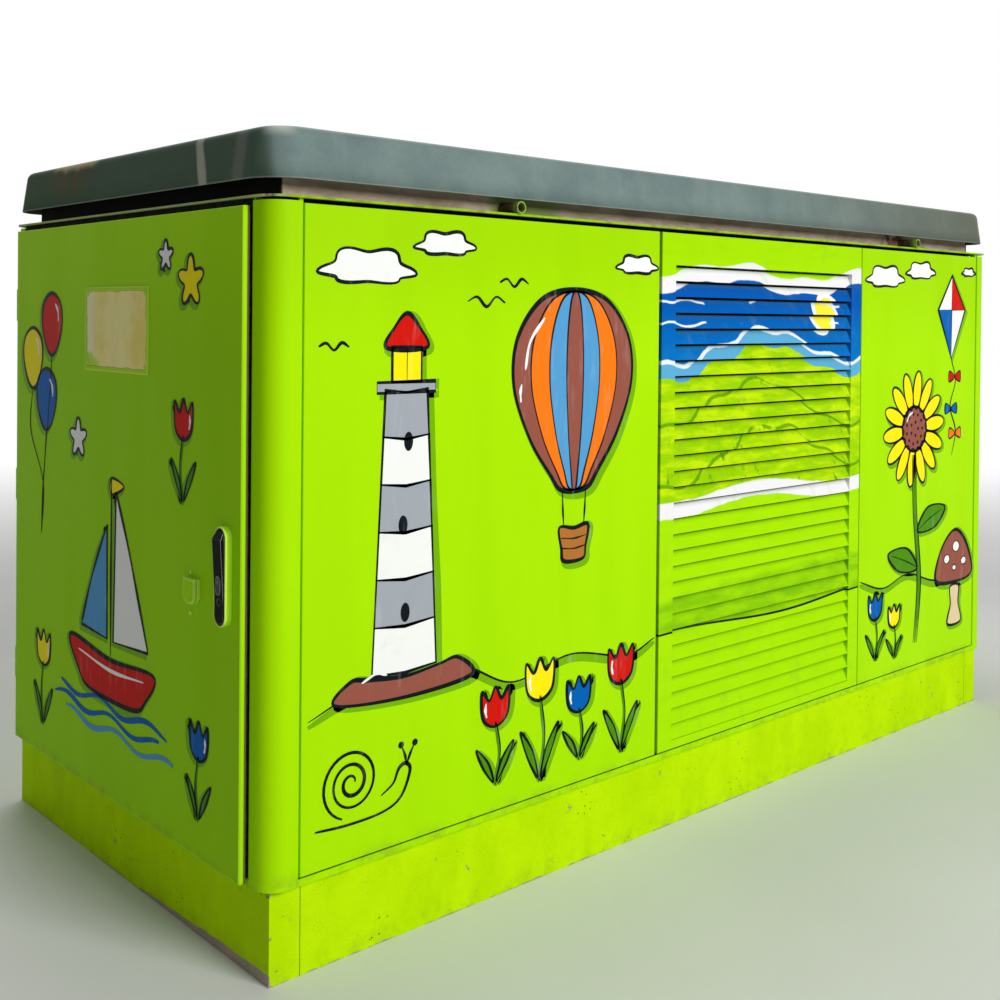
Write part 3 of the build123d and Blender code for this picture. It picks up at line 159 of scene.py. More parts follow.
class Finish:
    """A material being mixed: its place on the object, its colour coat by coat, and at last its shader."""

    def __init__(self, name):
        self.material = bpy.data.materials.new(name)
        self.material.use_nodes = True
        self.tree = self.material.node_tree
        self.shader = self.tree.nodes["Principled BSDF"]
        self.place = Wire(self.tree).node("TexCoord", {}, {}, "Object")
        split = self.place.node("SeparateXYZ", {}, {0: self.place}).socket.node
        self.x, self.y, self.z = (Wire(self.tree, output) for output in split.outputs)

    def streaks(self, scales, detail=4, roughness=0.6):
        """Fractal noise of about 0.3 to 0.7, with a scale for each axis."""
        drawn = self.place.node("VectorMath", {"operation": "MULTIPLY"}, {0: self.place, 1: scales})
        values = {"Vector": drawn, "Scale": 1.0, "Detail": detail, "Roughness": roughness}
        return self.place.node("TexNoise", {}, values)

    def clouds(self, scale, detail=4, roughness=0.6):
        """The same noise with one scale."""
        return self.streaks((scale, scale, scale), detail, roughness)

    def cells(self, scale):
        """Distance to the nearest of scattered points, in cell widths."""
        return self.place.node("TexVoronoi", {}, {"Vector": self.place, "Scale": scale})

    def base(self, blend, first, second):
        """The first coat, between two colours in 8-bit sRGB."""
        self.colour = blend.over(tint(*first), tint(*second))

    def coat(self, cover, *colour):
        """Lays a colour over the coats so far: three 8-bit numbers, or a colour that varies."""
        self.colour = cover.over(self.colour, tint(*colour) if len(colour) == 3 else colour[0])

    def flatness(self, radius, samples=6):
        """1 on a flat face and less near an edge: the rounded normal times the true one, as vectors."""
        rounded = self.place.node("Bevel", {"samples": samples}, {"Radius": radius})
        true_normal = self.place.node("NewGeometry", {}, {}, "True Normal")
        normals = {0: rounded, 1: true_normal}
        return self.place.node("VectorMath", {"operation": "DOT_PRODUCT"}, normals, 1)

    def done(self, roughness, relief=None, depth=0.0, shine=0.5, **sockets):
        """Links or sets the shader's sockets, and turns the relief, in units of its depth, into a bump."""
        sockets |= {"Base Color": self.colour, "Roughness": roughness, "Specular IOR Level": shine}
        for name, value in sockets.items():
            target = self.shader.inputs[name]
            if isinstance(value, Wire):
                self.tree.links.new(value.socket, target)
            else:
                target.default_value = value
        if relief is not None:
            bump = relief.node("Bump", {}, {"Height": relief, "Distance": depth})
            self.tree.links.new(bump.socket, self.shader.inputs["Normal"])

    def dress(self, *nodes):
        """Gives the named parts this finish."""
        for node in nodes:
            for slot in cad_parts[node].material_slots:
                slot.material = self.material


def corners(node):
    """The lowest and the highest corner of a part's box, as plain numbers."""
    return [[float(v) for v in corner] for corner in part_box(node)]


LIME, LIME_DEEP = (169, 229, 2), (156, 217, 0)
MATT_PAINT, SATIN_PAINT = 0.02, 0.028

(PLINTH_LEFT, PLINTH_FRONT, _), (_, _, PLINTH_TOP) = corners("plinth_frame")
concrete = Finish("lime_painted_concrete")
brushed = concrete.streaks((10, 10, 4), 4, 0.5)
mottled = concrete.clouds(19, 5, 0.65)
pits = concrete.cells(58).fade(0.17, 0.08) * concrete.clouds(6, 2, 0.5).fade(0.54, 0.62)
specks = concrete.cells(130).fade(0.2, 0.1) * concrete.clouds(13, 2, 0.5).fade(0.5, 0.62)
grit = concrete.clouds(190, 4, 0.65)
flaking = concrete.clouds(30, 5, 0.65)
arris = concrete.z.fade(PLINTH_TOP - 0.04, PLINTH_TOP - 0.001)
near_corner = concrete.x.fade(PLINTH_LEFT + 0.07, PLINTH_LEFT)
near_corner *= concrete.y.fade(PLINTH_FRONT + 0.11, PLINTH_FRONT + 0.02)
chipped = (flaking + arris * 0.03 + near_corner * arris * 0.16).fade(0.69, 0.705)
ground_line = concrete.streaks((10, 6, 0.6), 5)
left_face = concrete.x.fade(PLINTH_LEFT + 0.005, PLINTH_LEFT + 0.001)
chip_y = (concrete.y - (PLINTH_FRONT + 0.04)) * 0.22
chip_z = concrete.z - (PLINTH_TOP - 0.002)
corner_chip = (chip_y.diagonal(chip_z) + flaking * 0.012).fade(0.0145, 0.0135) * left_face
strip_height = ground_line * 0.03 - 0.014 + left_face * concrete.y.fade(0.1, -0.5) * 0.022
bare = (concrete.z - strip_height).fade(0.002, -0.003)
splash = concrete.z.fade(0.07, 0.0) * concrete.clouds(24, 5).fade(0.42, 0.66)
under_sill = concrete.z.fade(PLINTH_TOP - 0.02, PLINTH_TOP - 0.005)
under_sill *= concrete.clouds(16, 5, 0.7).fade(0.42, 0.62)
concrete.base(brushed.fade(0.35, 0.65), (180, 224, 0), (190, 232, 4))
concrete.coat(mottled.fade(0.45, 0.7) * 0.3, 168, 212, 0)
concrete.coat(splash * 0.2, 112, 118, 40)
concrete.coat(under_sill * 0.45, 96, 112, 30)
worn = chipped.highest(bare).highest(corner_chip)
bare_colour = mottled.fade(0.4, 0.6).over(tint(158, 152, 138), tint(176, 158, 140))
concrete.coat(worn, bare_colour)
# Painted shade: the casting pits are coloured darker as the shade inside them.
concrete.coat(pits * 0.6, 112, 140, 10)
concrete.coat(specks * 0.55, 110, 138, 10)
concrete.done(
    brushed.fade(0.2, 0.8) * 0.2 + 0.6,
    grit * 0.6 + brushed * 0.4 - pits * 2.5 - worn * 1.2,
    0.0014,
    shine=MATT_PAINT,
)
concrete.dress("plinth_frame", "plinth_front_plate")

# Body sheets: base frame, posts, panels and door leaves of folded steel, rolled with lime gloss paint in
# long upright passes. Rain has left runs under the drip flange and dust at the sill, and a green haze grows
# low on the back. The front is painted darker towards the flange and the door leaves darker low down, both
# as painted shade. The leaves' rims carry painted highlights, and a dusty lip lies beside their seals.
(LEAF_BACK, _, LEAF_FOOT), (LEAF_FACE, LEAF_EDGE, LEAF_TOP) = corners("right_door_leaf")
BODY_LEFT, BODY_FRONT, _ = corners("base_frame")[0]
RUNS_END, PAINTED_SHADE_LEVEL, UNDER_FLANGE, HAZE_END = 1.45, 1.3, 1.67, 0.8
sheet = Finish("lime_gloss_paint")
passes = sheet.streaks((9, 9, 0.9), 4, 0.5)
blotches = sheet.clouds(1.4, 3, 0.5)
stipple = sheet.clouds(210, 3)
runs = sheet.streaks((30, 30, 0.7), 5)
under_flange = sheet.z.fade(RUNS_END, UNDER_FLANGE) * runs.fade(0.55, 0.72)
sill_dust = sheet.z.fade(PLINTH_TOP + 0.05, PLINTH_TOP - 0.005)
sill_dust *= sheet.clouds(22).fade(0.4, 0.66)
flecks = sheet.clouds(90, 4, 0.7).fade(0.75, 0.765)
out_x, out_y = sheet.x.size(), sheet.y.size()
seal_lip = out_x.fade(LEAF_BACK + 0.0055, LEAF_BACK + 0.0045)
seal_lip *= out_y.fade(LEAF_EDGE - 0.0014, LEAF_EDGE - 0.0006)
seal_lip *= out_x.fade(LEAF_BACK - 0.003, LEAF_BACK - 0.001)
# Painted shade: the front darker towards the drip flange.
painted_flange_shade = sheet.z.fade(PAINTED_SHADE_LEVEL, UNDER_FLANGE - 0.01) * sheet.y.fade(BODY_FRONT + 0.07, BODY_FRONT + 0.01)
# Painted shade: the door leaves darker low down.
painted_door_shade = out_x.fade(LEAF_FACE - 0.006, LEAF_FACE - 0.002) * sheet.z.fade(UNDER_FLANGE - 0.02, PAINTED_SHADE_LEVEL)
haze = sheet.y.fade(-BODY_FRONT - 0.1, -BODY_FRONT - 0.01) * sheet.z.fade(HAZE_END, PLINTH_TOP + 0.015)
haze *= sheet.clouds(7, 5, 0.65).fade(0.42, 0.66)
# Painted highlight: a broken pale line along the rims of the door leaves.
leaf_rim_highlight = out_y.fade(LEAF_EDGE - 0.0038, LEAF_EDGE - 0.0018)
leaf_rim_highlight = leaf_rim_highlight.highest(sheet.z.fade(LEAF_TOP - 0.0038, LEAF_TOP - 0.0018))
leaf_rim_highlight = leaf_rim_highlight.highest(sheet.z.fade(LEAF_FOOT + 0.0038, LEAF_FOOT + 0.0018))
leaf_rim_highlight *= out_x.fade(LEAF_FACE - 0.0012, LEAF_FACE - 0.0006) * stipple.fade(0.3, 0.5)
sheet.base(passes.fade(0.35, 0.7) * 0.3, LIME, LIME_DEEP)
sheet.coat(blotches.fade(0.5, 0.75) * 0.25, 184, 237, 22)
sheet.coat((painted_flange_shade * 0.2).highest(under_flange * 0.12), 120, 160, 2)
sheet.coat(painted_door_shade * 0.45, 140, 200, 0)
sheet.coat(haze * 0.4, 92, 112, 30)
sheet.coat(leaf_rim_highlight * 0.55, 206, 246, 90)
sheet.coat(sill_dust * 0.4, 118, 136, 40)
sheet.coat(flecks * 0.5, 120, 160, 20)
sheet.coat(seal_lip, 112, 104, 72)
sheet.done(passes * 0.2 + 0.34, passes + stipple * 0.12, 0.0003, shine=SATIN_PAINT)
CORNERS = [f"corner_post_{side}" for side in ("front_left", "front_right", "rear_left", "rear_right")]
PANELS = ["front_panel_left", "front_panel_right", "rear_panel_left", "rear_panel_right"]
sheet.dress("base_frame", *CORNERS, *PANELS)

# Louvre: pressed slats in a folded frame. Blue water under a white ribbon of cloud is brushed right
# across them, with a yellow sun, foam lines and green banks, down to a second white ribbon. Lower down
# runs a dark horizon line with a darker green hill behind it.
CLOUD_LEVEL, BANK_LEVEL, FOOT_LEVEL, HORIZON_LEVEL = 1.545, 1.3, 0.905, 0.54
UPPER_CREST, LOWER_CREST = 1.475, 1.41
SUN_ALONG, SUN_Z, SUN_RADIUS = 2.04, 1.445, 0.05
SLATS, SLAT_PITCH = 30, 0.0442
(SLATS_LEFT, _, SLATS_FOOT), (SLATS_RIGHT, SLATS_BACK, SLATS_TOP) = corners("front_louvre_slats")
louvre = Finish("louvre_picture_paint")
along = louvre.x - BODY_LEFT
daubs = louvre.streaks((7.2, 1.2, 31.2), 5)
blotches = louvre.clouds(5)
shaky = louvre.clouds(11) * 0.016 - 0.008
swell = (along * 9.0).sine() * 0.02 + (along * 23.0 + 1.0).sine() * 0.008
rise = louvre.z + shaky
over_cloud = rise - swell - CLOUD_LEVEL
bank_top = rise - (along * 7.0 + 2.0).sine() * 0.05 - (along * 31.0).sine() * 0.01 - BANK_LEVEL
over_foot = rise - (along * 8.0 + 0.5).sine() * 0.016 - FOOT_LEVEL
ribbons = over_cloud.size().fade(0.026, 0.022).highest(over_foot.size().fade(0.025, 0.021))
water = over_cloud.fade(0.002, -0.002) * bank_top.fade(-0.002, 0.002)
shallow = (bank_top - 0.02).size().fade(0.022, 0.018)
surf = (bank_top - 0.045).size().fade(0.0075, 0.004) * blotches.fade(0.36, 0.42)
bank = bank_top.fade(0.002, -0.002) * over_foot.fade(-0.002, 0.002)
crest_wave = (along * 38.0).sine() * 0.006
broken = louvre.streaks((7, 1, 2), 2, 0.5).fade(0.52, 0.56)
crests = (rise - crest_wave - UPPER_CREST).size().lowest((rise + crest_wave - LOWER_CREST).size())
crests = crests.fade(0.0045, 0.002) * broken
sun_gap = (along - SUN_ALONG).diagonal(louvre.z - SUN_Z) + shaky * 0.5
sun = sun_gap.fade(SUN_RADIUS + 0.002, SUN_RADIUS - 0.001)
sun_rim = (sun_gap - SUN_RADIUS - 0.01).size().fade(0.01, 0.008)
furrow = (bank_top + 0.13 - (along * 5.0).sine() * 0.03).size()
furrow = furrow.lowest((bank_top + 0.27 + (along * 6.0).sine() * 0.03).size())
furrows = furrow.fade(0.007, 0.003) * blotches.fade(0.4, 0.46)
tufts = bank * louvre.streaks((31.2, 1.2, 15.6), 4, 0.7).fade(0.6, 0.66)
tufts *= (louvre.z.fade(1.02, 0.93) * 0.8 + 0.2).highest(furrow.fade(0.03, 0.01))
horizon = louvre.z - (along * 6.0).sine() * 0.01 - HORIZON_LEVEL
hill_top = horizon - 0.11 - (along * 4.0).sine() * 0.02 - shaky * 3
hill = horizon.fade(-0.002, 0.002) * hill_top.fade(0.015, -0.015)
louvre.base(daubs.fade(0.4, 0.7) * 0.35, LIME, LIME_DEEP)
louvre.coat(hill * (daubs.fade(0.3, 0.7) * 0.5 + 0.2), 104, 172, 10)
louvre.coat(horizon.size().fade(0.004, 0.002), 18, 24, 30)
deep_water = (louvre.z + daubs * 0.14).fade(1.34, 1.6)
water_colour = deep_water.over(tint(0, 112, 190), tint(0, 84, 172))
water_colour = (blotches.fade(0.54, 0.7) * 0.35).over(water_colour, tint(40, 140, 204))
bank_colour = daubs.fade(0.38, 0.66).over(tint(150, 206, 0), tint(196, 232, 10))
louvre.coat(water, water_colour)
louvre.coat(bank, bank_colour)
louvre.coat(tufts * 0.75, 62, 128, 26)
louvre.coat(furrows * 0.8, 84, 146, 10)
louvre.coat(shallow * 0.9, 96, 176, 214)
louvre.coat(sun_rim, 240, 242, 240)
louvre.coat(sun, 250, 236, 60)
louvre.coat(surf.highest(crests), 232, 240, 242)
louvre.coat(ribbons, 238, 236, 240)
dust = louvre.streaks((20, 20, 5), 4, 0.5).fade(0.55, 0.75) * 0.12
louvre.coat(dust, 130, 146, 60)
# Painted shade: darker towards the top, under the drip flange.
louvre.coat(louvre.z.fade(1.5, 1.64) * 0.14, 120, 160, 2)
steps = (louvre.z - SLATS_FOOT) * (1 / SLAT_PITCH)
slats_middle, slats_half = (SLATS_LEFT + SLATS_RIGHT) / 2, (SLATS_RIGHT - SLATS_LEFT) / 2
between_ends = (louvre.x - slats_middle).size().fade(slats_half + 0.002, slats_half - 0.001)
between_ends *= steps.fade(0.0, 0.02) * steps.fade(SLATS, SLATS - 0.02)
# Painted shadow: a darker band under the lip of each slat.
shade_behind_lip = steps.fraction().fade(0.5, 0.93) * between_ends
louvre.coat(shade_behind_lip * 0.42, 60, 100, 0)
louvre.done(blotches * 0.2 + 0.38, daubs, 0.0006, shine=SATIN_PAINT)
louvre.dress("front_louvre_frame", "front_louvre_slats")
sheet.dress("rear_louvre_frame", "rear_louvre_slats")


# Vermin screens: steel wire woven to a 5 mm mesh and stretched behind the slats of both louvres, so that
# no small animal gets in. The wire is dull and dusty, and open between the strands.
def surface(name, points, faces, finish):
    """An object of these points and faces, all in one finish."""
    mesh = bpy.data.meshes.new(name)
    mesh.from_pydata(points.tolist(), [], faces)
    mesh.materials.append(finish.material)
    return placed(name, mesh)


WIRE_PITCH, SCREEN_GAP = 0.005, 0.002
SIDES = SLATS_LEFT, SLATS_RIGHT, SLATS_RIGHT, SLATS_LEFT
LEVELS = SLATS_FOOT, SLATS_FOOT, SLATS_TOP, SLATS_TOP
screen_wire = Finish("vermin_screen_wire")
across = (screen_wire.x * (2 * math.pi / WIRE_PITCH)).sine()
upward = (screen_wire.z * (2 * math.pi / WIRE_PITCH)).sine()
tarnish = screen_wire.clouds(12)
screen_wire.base(tarnish.fade(0.35, 0.7), (30, 30, 28), (74, 72, 64))
screen_wire.done(
    tarnish * 0.3 + 0.5,
    across + upward,
    0.0004,
    shine=MATT_PAINT,
    Alpha=across.highest(upward).fade(-0.45, -0.25),
)
for name, side, face in (("front_screen", 1, (0, 1, 2, 3)), ("rear_screen", -1, (3, 2, 1, 0))):
    depths = [side * (SLATS_BACK + SCREEN_GAP)] * 4
    screen = surface(name, np.column_stack([SIDES, depths, LEVELS]), [face], screen_wire)
    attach(screen, "housing")

# Top frame: the thin drip flange sheds the rain on a pale, weathered lime edge with a few rust spots,
# and everything inside that edge is painted near black as the shade under the lid.
HALF_LENGTH, HALF_DEPTH, _ = corners("top_frame")[1]
flange = Finish("drip_flange_paint")
grime = flange.streaks((18, 18, 6), 5, 0.65)
rust = flange.clouds(26).fade(0.66, 0.7)
reach = flange.y.size().highest(flange.x.size() - (HALF_LENGTH - HALF_DEPTH))
reach = reach.fade(HALF_DEPTH - 0.021, HALF_DEPTH - 0.006)
end_bleach = flange.x.size().fade(HALF_LENGTH - 0.056, HALF_LENGTH - 0.011)
flange.base(grime.fade(0.4, 0.7), (150, 196, 20), (126, 150, 40))
flange.coat(end_bleach * 0.75, 190, 200, 150)
flange.coat(rust * 0.8, 136, 84, 40)
# Painted shade: near black inside the outer edge.
flange.coat(1 - reach, 34, 32, 28)
flange.done(grime * 0.3 + 0.4, grime, 0.0006, shine=MATT_PAINT)
flange.dress("top_frame")


# Frames behind the doors and the panel joints: folded channels painted near black with a dusty mottle,
# as the shade in every gap of the body.
def plain_skin(name, noise, band, tints, gloss, depth, shine=0.5):
    """A finish whose colour, relief and roughness follow one noise n: gloss (a, b) makes it a n + b rough."""
    skin = Finish(name)
    clouding = skin.clouds(*noise)
    skin.base(clouding.fade(*band), *tints)
    skin.done(clouding * gloss[0] + gloss[1], clouding, depth, shine)
    return skin


# Painted shade: a near-black coat for the gaps.
GAP_SHADE_TINTS = (20, 22, 18), (52, 50, 42)
gap_shade = plain_skin("dark_gap_shade", (30, 5), (0.35, 0.7), GAP_SHADE_TINTS, (0.2, 0.65), 0.0006, MATT_PAINT)
gap_shade.dress("left_door_frame", "right_door_frame", "mullions")

# Collar: four folded sheets in brown-grey primer that carry the lid. Lime overspray has drifted round
# the left lifting tube and old red paint is smudged beside the right one. Both ends are painted near black
# as shade under the lid.
OVERSPRAY_X, RED_SMUDGE_X = -0.86, 0.98
COLLAR_END = corners("roof_collar")[1][0]
collar = Finish("collar_primer")
grime = collar.streaks((10, 10, 30), 5, 0.65)
drift = collar.streaks((5, 5, 2), 3, 0.5)
overspray = (collar.x - OVERSPRAY_X).size().fade(0.42, 0.12) * drift.fade(0.4, 0.56)
smudge = (collar.x - RED_SMUDGE_X).size().fade(0.12, 0.03) * collar.clouds(22, 4, 0.5).fade(0.44, 0.54)
ends = collar.x.size().fade(COLLAR_END - 0.01, COLLAR_END - 0.003)
collar.base(grime.fade(0.3, 0.7), (174, 155, 131), (217, 198, 174))
collar.coat(overspray * 0.7, 104, 146, 24)
collar.coat(smudge * 0.75, 110, 26, 24)
# Painted shade: both ends near black.
collar.coat(ends, 26, 25, 22)
collar.done(grime * 0.3 + 0.55, grime, 0.0008, shine=MATT_PAINT)
collar.dress("roof_collar")

# Lifting tubes: steel tube right through the collar. The brush has caught the mouths with lime, and
# the inside is dark with rust.
TUBE_END = corners("lifting_tubes")[1][1]
tubes = Finish("lifting_tube_steel")
grime = tubes.clouds(60)
mouth = tubes.y.size().fade(TUBE_END - 0.024, TUBE_END - 0.008)
tubes.base(grime.fade(0.35, 0.65), (66, 52, 40), (108, 90, 72))
tubes.coat(mouth * grime.fade(0.66, 0.5), 128, 160, 40)
tubes.done(grime * 0.3 + 0.45, grime, 0.0006)
tubes.dress("lifting_tubes")

# Lid: a grey glass-fibre moulding with a drafted skirt and a soft edge, made here as one smooth skin.
# Rain carries chalk and ochre dirt down the left end, which is painted darker and greener as shade.
# Pale lines on its rim, upper edge, near corner and the edge above the ochre are painted highlights.
LID_LOW, LID_HIGH = np.array(corners("lid"))
LID_CORNER, LID_WALL, LID_EDGE = 0.095, 0.005, 0.024
LID_SKIRT, LID_CROWN, LID_BORDER, LID_RIDGE = 0.117, 0.016, 0.102, 0.012
DRAFT_ANGLE = 8
DRAFT = math.tan(math.radians(DRAFT_ANGLE))


def lid_rows(wall):
    """Inset and height of each row round the lid, outside for wall 0 and inside for its thickness: the
    skirt leans in by z tan 8, a quarter round of radius r runs x = r(1 - cos a), z = r sin a, and then
    the crown rises straight to a narrow ridge."""
    radius = LID_EDGE - wall
    top = LID_SKIRT - wall
    edge_foot = top - radius
    lean = DRAFT * edge_foot + wall
    a = np.radians(np.linspace(DRAFT_ANGLE, 90, 9))
    skirt = [(wall, 0.0), (wall + DRAFT * edge_foot / 2, edge_foot / 2)]
    inset = lean + radius * (np.cos(a[0]) - np.cos(a))
    height = np.minimum(edge_foot + radius * (np.sin(a) - np.sin(a[0])), top)
    rise = np.linspace(0, 1, 6)
    slope = LID_HIGH[1] - LID_RIDGE - LID_BORDER
    crown = np.column_stack([LID_BORDER + slope * rise, top + LID_CROWN * rise])
    return np.vstack([skirt, np.column_stack([inset, height]), crown])


def unit(a):
    """The point at angle a on a circle of radius 1, one row for each angle."""
    return np.stack([np.cos(a), np.sin(a)], axis=-1)


def lid_ring(inset, height):
    """One closed row: four quarter rounds of the plan radius less the inset, joined by straight runs."""
    radius = max(LID_CORNER - inset, 0.0005)
    half = LID_HIGH[:2] - inset - radius
    a = np.radians(np.linspace(0, 90, 15))
    arcs = []
    for quarter, signs in enumerate(((1, 1), (-1, 1), (-1, -1), (1, -1))):
        turned = a + quarter * np.pi / 2
        arcs.append(half * signs + radius * unit(turned))
    flat = np.vstack(arcs)
    return np.column_stack([flat, np.full(len(flat), LID_LOW[2] + height)])


rows = [lid_ring(*row) for row in lid_rows(LID_WALL)[::-1]] + [lid_ring(*row) for row in lid_rows(0)]
around = len(rows[0])
grid = np.arange(around * len(rows)).reshape(len(rows), around)
here, beside = grid[:-1], np.roll(grid, -1, 1)[:-1]
above, above_beside = grid[1:], np.roll(grid, -1, 1)[1:]
faces = np.stack([here, beside, above_beside, above], axis=-1).reshape(-1, 4).tolist()
faces += [grid[-1].tolist(), grid[0][::-1].tolist()]

LID_LEFT, LID_FRONT, LID_FOOT = LID_LOW.tolist()
SKIRT_TOP = LID_FOOT + LID_SKIRT
CHALK_Y, FAINT_CHALK_Y, OCHRE_Y = -0.372, -0.57, 0.32
lid = Finish("lid_grey")
mottle = lid.clouds(5, 6, 0.62)
fine = lid.clouds(120, 3)
runs = lid.streaks((12, 12, 0.8), 5)
left_end = lid.x.fade(LID_LEFT + 0.037, LID_LEFT + 0.016)
fall = SKIRT_TOP - lid.z
skirt = lid.z.fade(SKIRT_TOP + 0.004, SKIRT_TOP - 0.006)
waver = runs * 0.04 - 0.02
chalk_run = (lid.y - CHALK_Y + fall * 0.45 + waver).size().fade(0.026, 0.012) * left_end
faint_run = (lid.y - FAINT_CHALK_Y + waver).size().fade(0.04, 0.01) * left_end * 0.22
speckle = lid.clouds(60, 4, 0.7).fade(0.4, 0.6)
ochre = (lid.y - OCHRE_Y + waver).size().fade(0.17, 0.08) * left_end * speckle.highest(runs.fade(0.45, 0.6))
ochre *= (lid.z + runs * 0.08).fade(SKIRT_TOP - 0.082, SKIRT_TOP - 0.002)
# Painted highlight: a pale band on the top edge above the ochre.
pale_edge_highlight = (lid.y - (OCHRE_Y - 0.02) + waver).size().fade(0.16, 0.1) * left_end
pale_edge_highlight *= (lid.z + waver).fade(SKIRT_TOP - 0.032, SKIRT_TOP - 0.012)
# Painted highlights: pale lines along the top edge, on the near corner and along the rim.
top_edge_highlight = lid.z.fade(SKIRT_TOP - 0.013, SKIRT_TOP - 0.004)
top_edge_highlight *= lid.z.fade(SKIRT_TOP + 0.0015, SKIRT_TOP - 0.002)
corner_highlight = lid.x.fade(LID_LEFT + 0.087, LID_LEFT + 0.047)
corner_highlight *= lid.y.fade(LID_FRONT + 0.077, LID_FRONT + 0.037)
corner_highlight *= lid.z.fade(SKIRT_TOP - 0.032, SKIRT_TOP - 0.006)
rim_highlight = lid.z.fade(LID_FOOT + 0.0035, LID_FOOT + 0.0015)
# Painted shade: the left end darker and greener.
shaded = left_end * (lid.y.fade(-0.3, 0.7) * 0.2 + 0.7)
top_dirt = lid.z.fade(SKIRT_TOP - 0.0005, SKIRT_TOP + 0.0005)
top_dirt *= lid.clouds(3, 5).fade(0.42, 0.66)
lid.base(mottle.fade(0.35, 0.68), (104, 122, 120), (118, 136, 132))
lid.coat(lid.x.fade(-0.2, 1.7) * 0.7, 92, 88, 68)
lid.coat(fine.fade(0.48, 0.72) * 0.2, 92, 108, 104)
lid.coat(skirt * runs.fade(0.54, 0.72) * 0.18, 146, 156, 150)
lid.coat(shaded, 50, 72, 42)
lid.coat(chalk_run.highest(faint_run) * 0.7 * skirt, 196, 196, 180)
lid.coat(ochre * 0.75 * skirt, 96, 76, 40)
lid.coat(pale_edge_highlight * 0.7, 204, 188, 148)
lid.coat(top_edge_highlight * 0.35, 178, 190, 182)
lid.coat(corner_highlight * 0.8, 196, 202, 190)
lid.coat(rim_highlight * 0.4, 176, 184, 176)
lid.coat(top_dirt * 0.5, 104, 104, 84)
lid.done(mottle * 0.3 + 0.42, fine * 0.5 + mottle, 0.0008, shine=SATIN_PAINT)
lid_skin = surface("lid_skin", np.vstack(rows), faces, lid)
lid_skin.data.polygons.foreach_set("use_smooth", [True] * (len(faces) - 2) + [False] * 2)
lid.dress("lid")
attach(lid_skin, "housing")
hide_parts("lid")

# End doors: deep folded leaves in the same lime, hung on lift-off hinges. The hinges, the handle dish
# and the key hood are brushed over too, and every raised edge and the rim of the dish are rubbed pale
# and carry painted highlights.
sheet.dress("left_door_leaf", "right_door_leaf")
DISH_FACE = corners("right_handle_housing")[1][0]
fitting = Finish("lime_fitting_paint")
# Painted highlights on the rubbed edges and round the rim of the handle dish.
wear_and_highlight = fitting.flatness(0.006, 8).fade(0.999, 0.965)
dish_rim_highlight = fitting.x.size().fade(DISH_FACE - 0.0014, DISH_FACE - 0.0008)
brush = fitting.streaks((90, 90, 27))
cracks = fitting.clouds(150, 4, 0.7).fade(0.62, 0.7)
fitting.base(brush.fade(0.35, 0.7) * 0.5, LIME, LIME_DEEP)
fitting.coat((wear_and_highlight * 0.9).highest(dish_rim_highlight * 0.6), 232, 255, 130)
fitting.coat(cracks * 0.5, 110, 140, 20)
fitting.done(brush * 0.2 + 0.34, brush + cracks * 0.5, 0.0005, shine=SATIN_PAINT)
FITTINGS = ("hinge_bases", "hinge_barrels", "handle_housing", "key_hood")
fitting.dress(*[f"{side}_{name}" for side in ("left", "right") for name in FITTINGS])

# Door seals: soft rubber sections glued round the back of each door leaf. They have gone brown and
# dusty.
RUBBER = (84, 70, 56), (140, 120, 96)
seal = plain_skin("seal_rubber", (40, 4), (0.35, 0.7), RUBBER, (0.2, 0.65), 0.0006, MATT_PAINT)
seal.dress("left_door_seal", "right_door_seal")

# Zinc-coated parts: partitions, floors, rails and lock gear, with the spangle and dull bloom of old
# galvanising.
zinc = Finish("zinc_coating")
spangle = zinc.clouds(46)
bloom = zinc.clouds(6, 5)
zinc.base(spangle.fade(0.35, 0.65), (128, 132, 134), (176, 180, 182))
zinc.coat(bloom.fade(0.5, 0.7) * 0.5, 150, 150, 144)
zinc.done(bloom * 0.3 + 0.3, spangle, 0.0003, Metallic=0.7)
zinc.dress("partition_walls", "floor_plates", "transformer_rails", "switchgear_base")
zinc.dress("lv_board_frame", "lv_cable_rail", "left_lock_gear", "right_lock_gear")

# Handle levers: black moulded plastic with a hard bevelled crest. Its edges carry painted highlights,
# strongest at the top and the foot, and the foot is scuffed where fingers lift it.
(_, _, LEVER_FOOT), (_, _, LEVER_TOP) = corners("left_handle_lever")
lever = Finish("lever_black")
# Painted highlights along the edges, stronger near the top and the foot.
edge_highlight = lever.flatness(0.0022).fade(0.98, 0.85)
scuffs = lever.streaks((60, 60, 12), 4, 0.65)
wear_and_highlight = lever.z.fade(LEVER_FOOT + 0.032, LEVER_FOOT - 0.002)
wear_and_highlight = wear_and_highlight.highest(lever.z.fade(LEVER_TOP - 0.034, LEVER_TOP - 0.014))
lever.base(scuffs.fade(0.56, 0.75) * 0.25, (5, 7, 4), (46, 52, 40))
lever.coat(edge_highlight * (wear_and_highlight * 0.55 + 0.45), 214, 222, 214)
lever.done(scuffs * 0.3 + 0.2, scuffs, 0.0003, shine=SATIN_PAINT)
lever.dress("left_handle_lever", "right_handle_lever")

# Lock cylinders: turned steel set in the levers, with a dull, handled face and painted highlights on its
# edges. The switch shafts inside are of the same steel.
lock = Finish("lock_steel")
tarnish = lock.clouds(120)
lock.base(tarnish.fade(0.35, 0.65), (26, 28, 28), (66, 70, 68))
# Painted highlights on the edges.
lock.coat(lock.flatness(0.0025).fade(0.99, 0.87) * 0.8, 206, 212, 206)
lock.done(tarnish * 0.3 + 0.35, tarnish, 0.0002, Metallic=0.3, shine=0.1)
lock.dress("left_lock_cylinder", "right_lock_cylinder", "switchgear_switch_shafts")

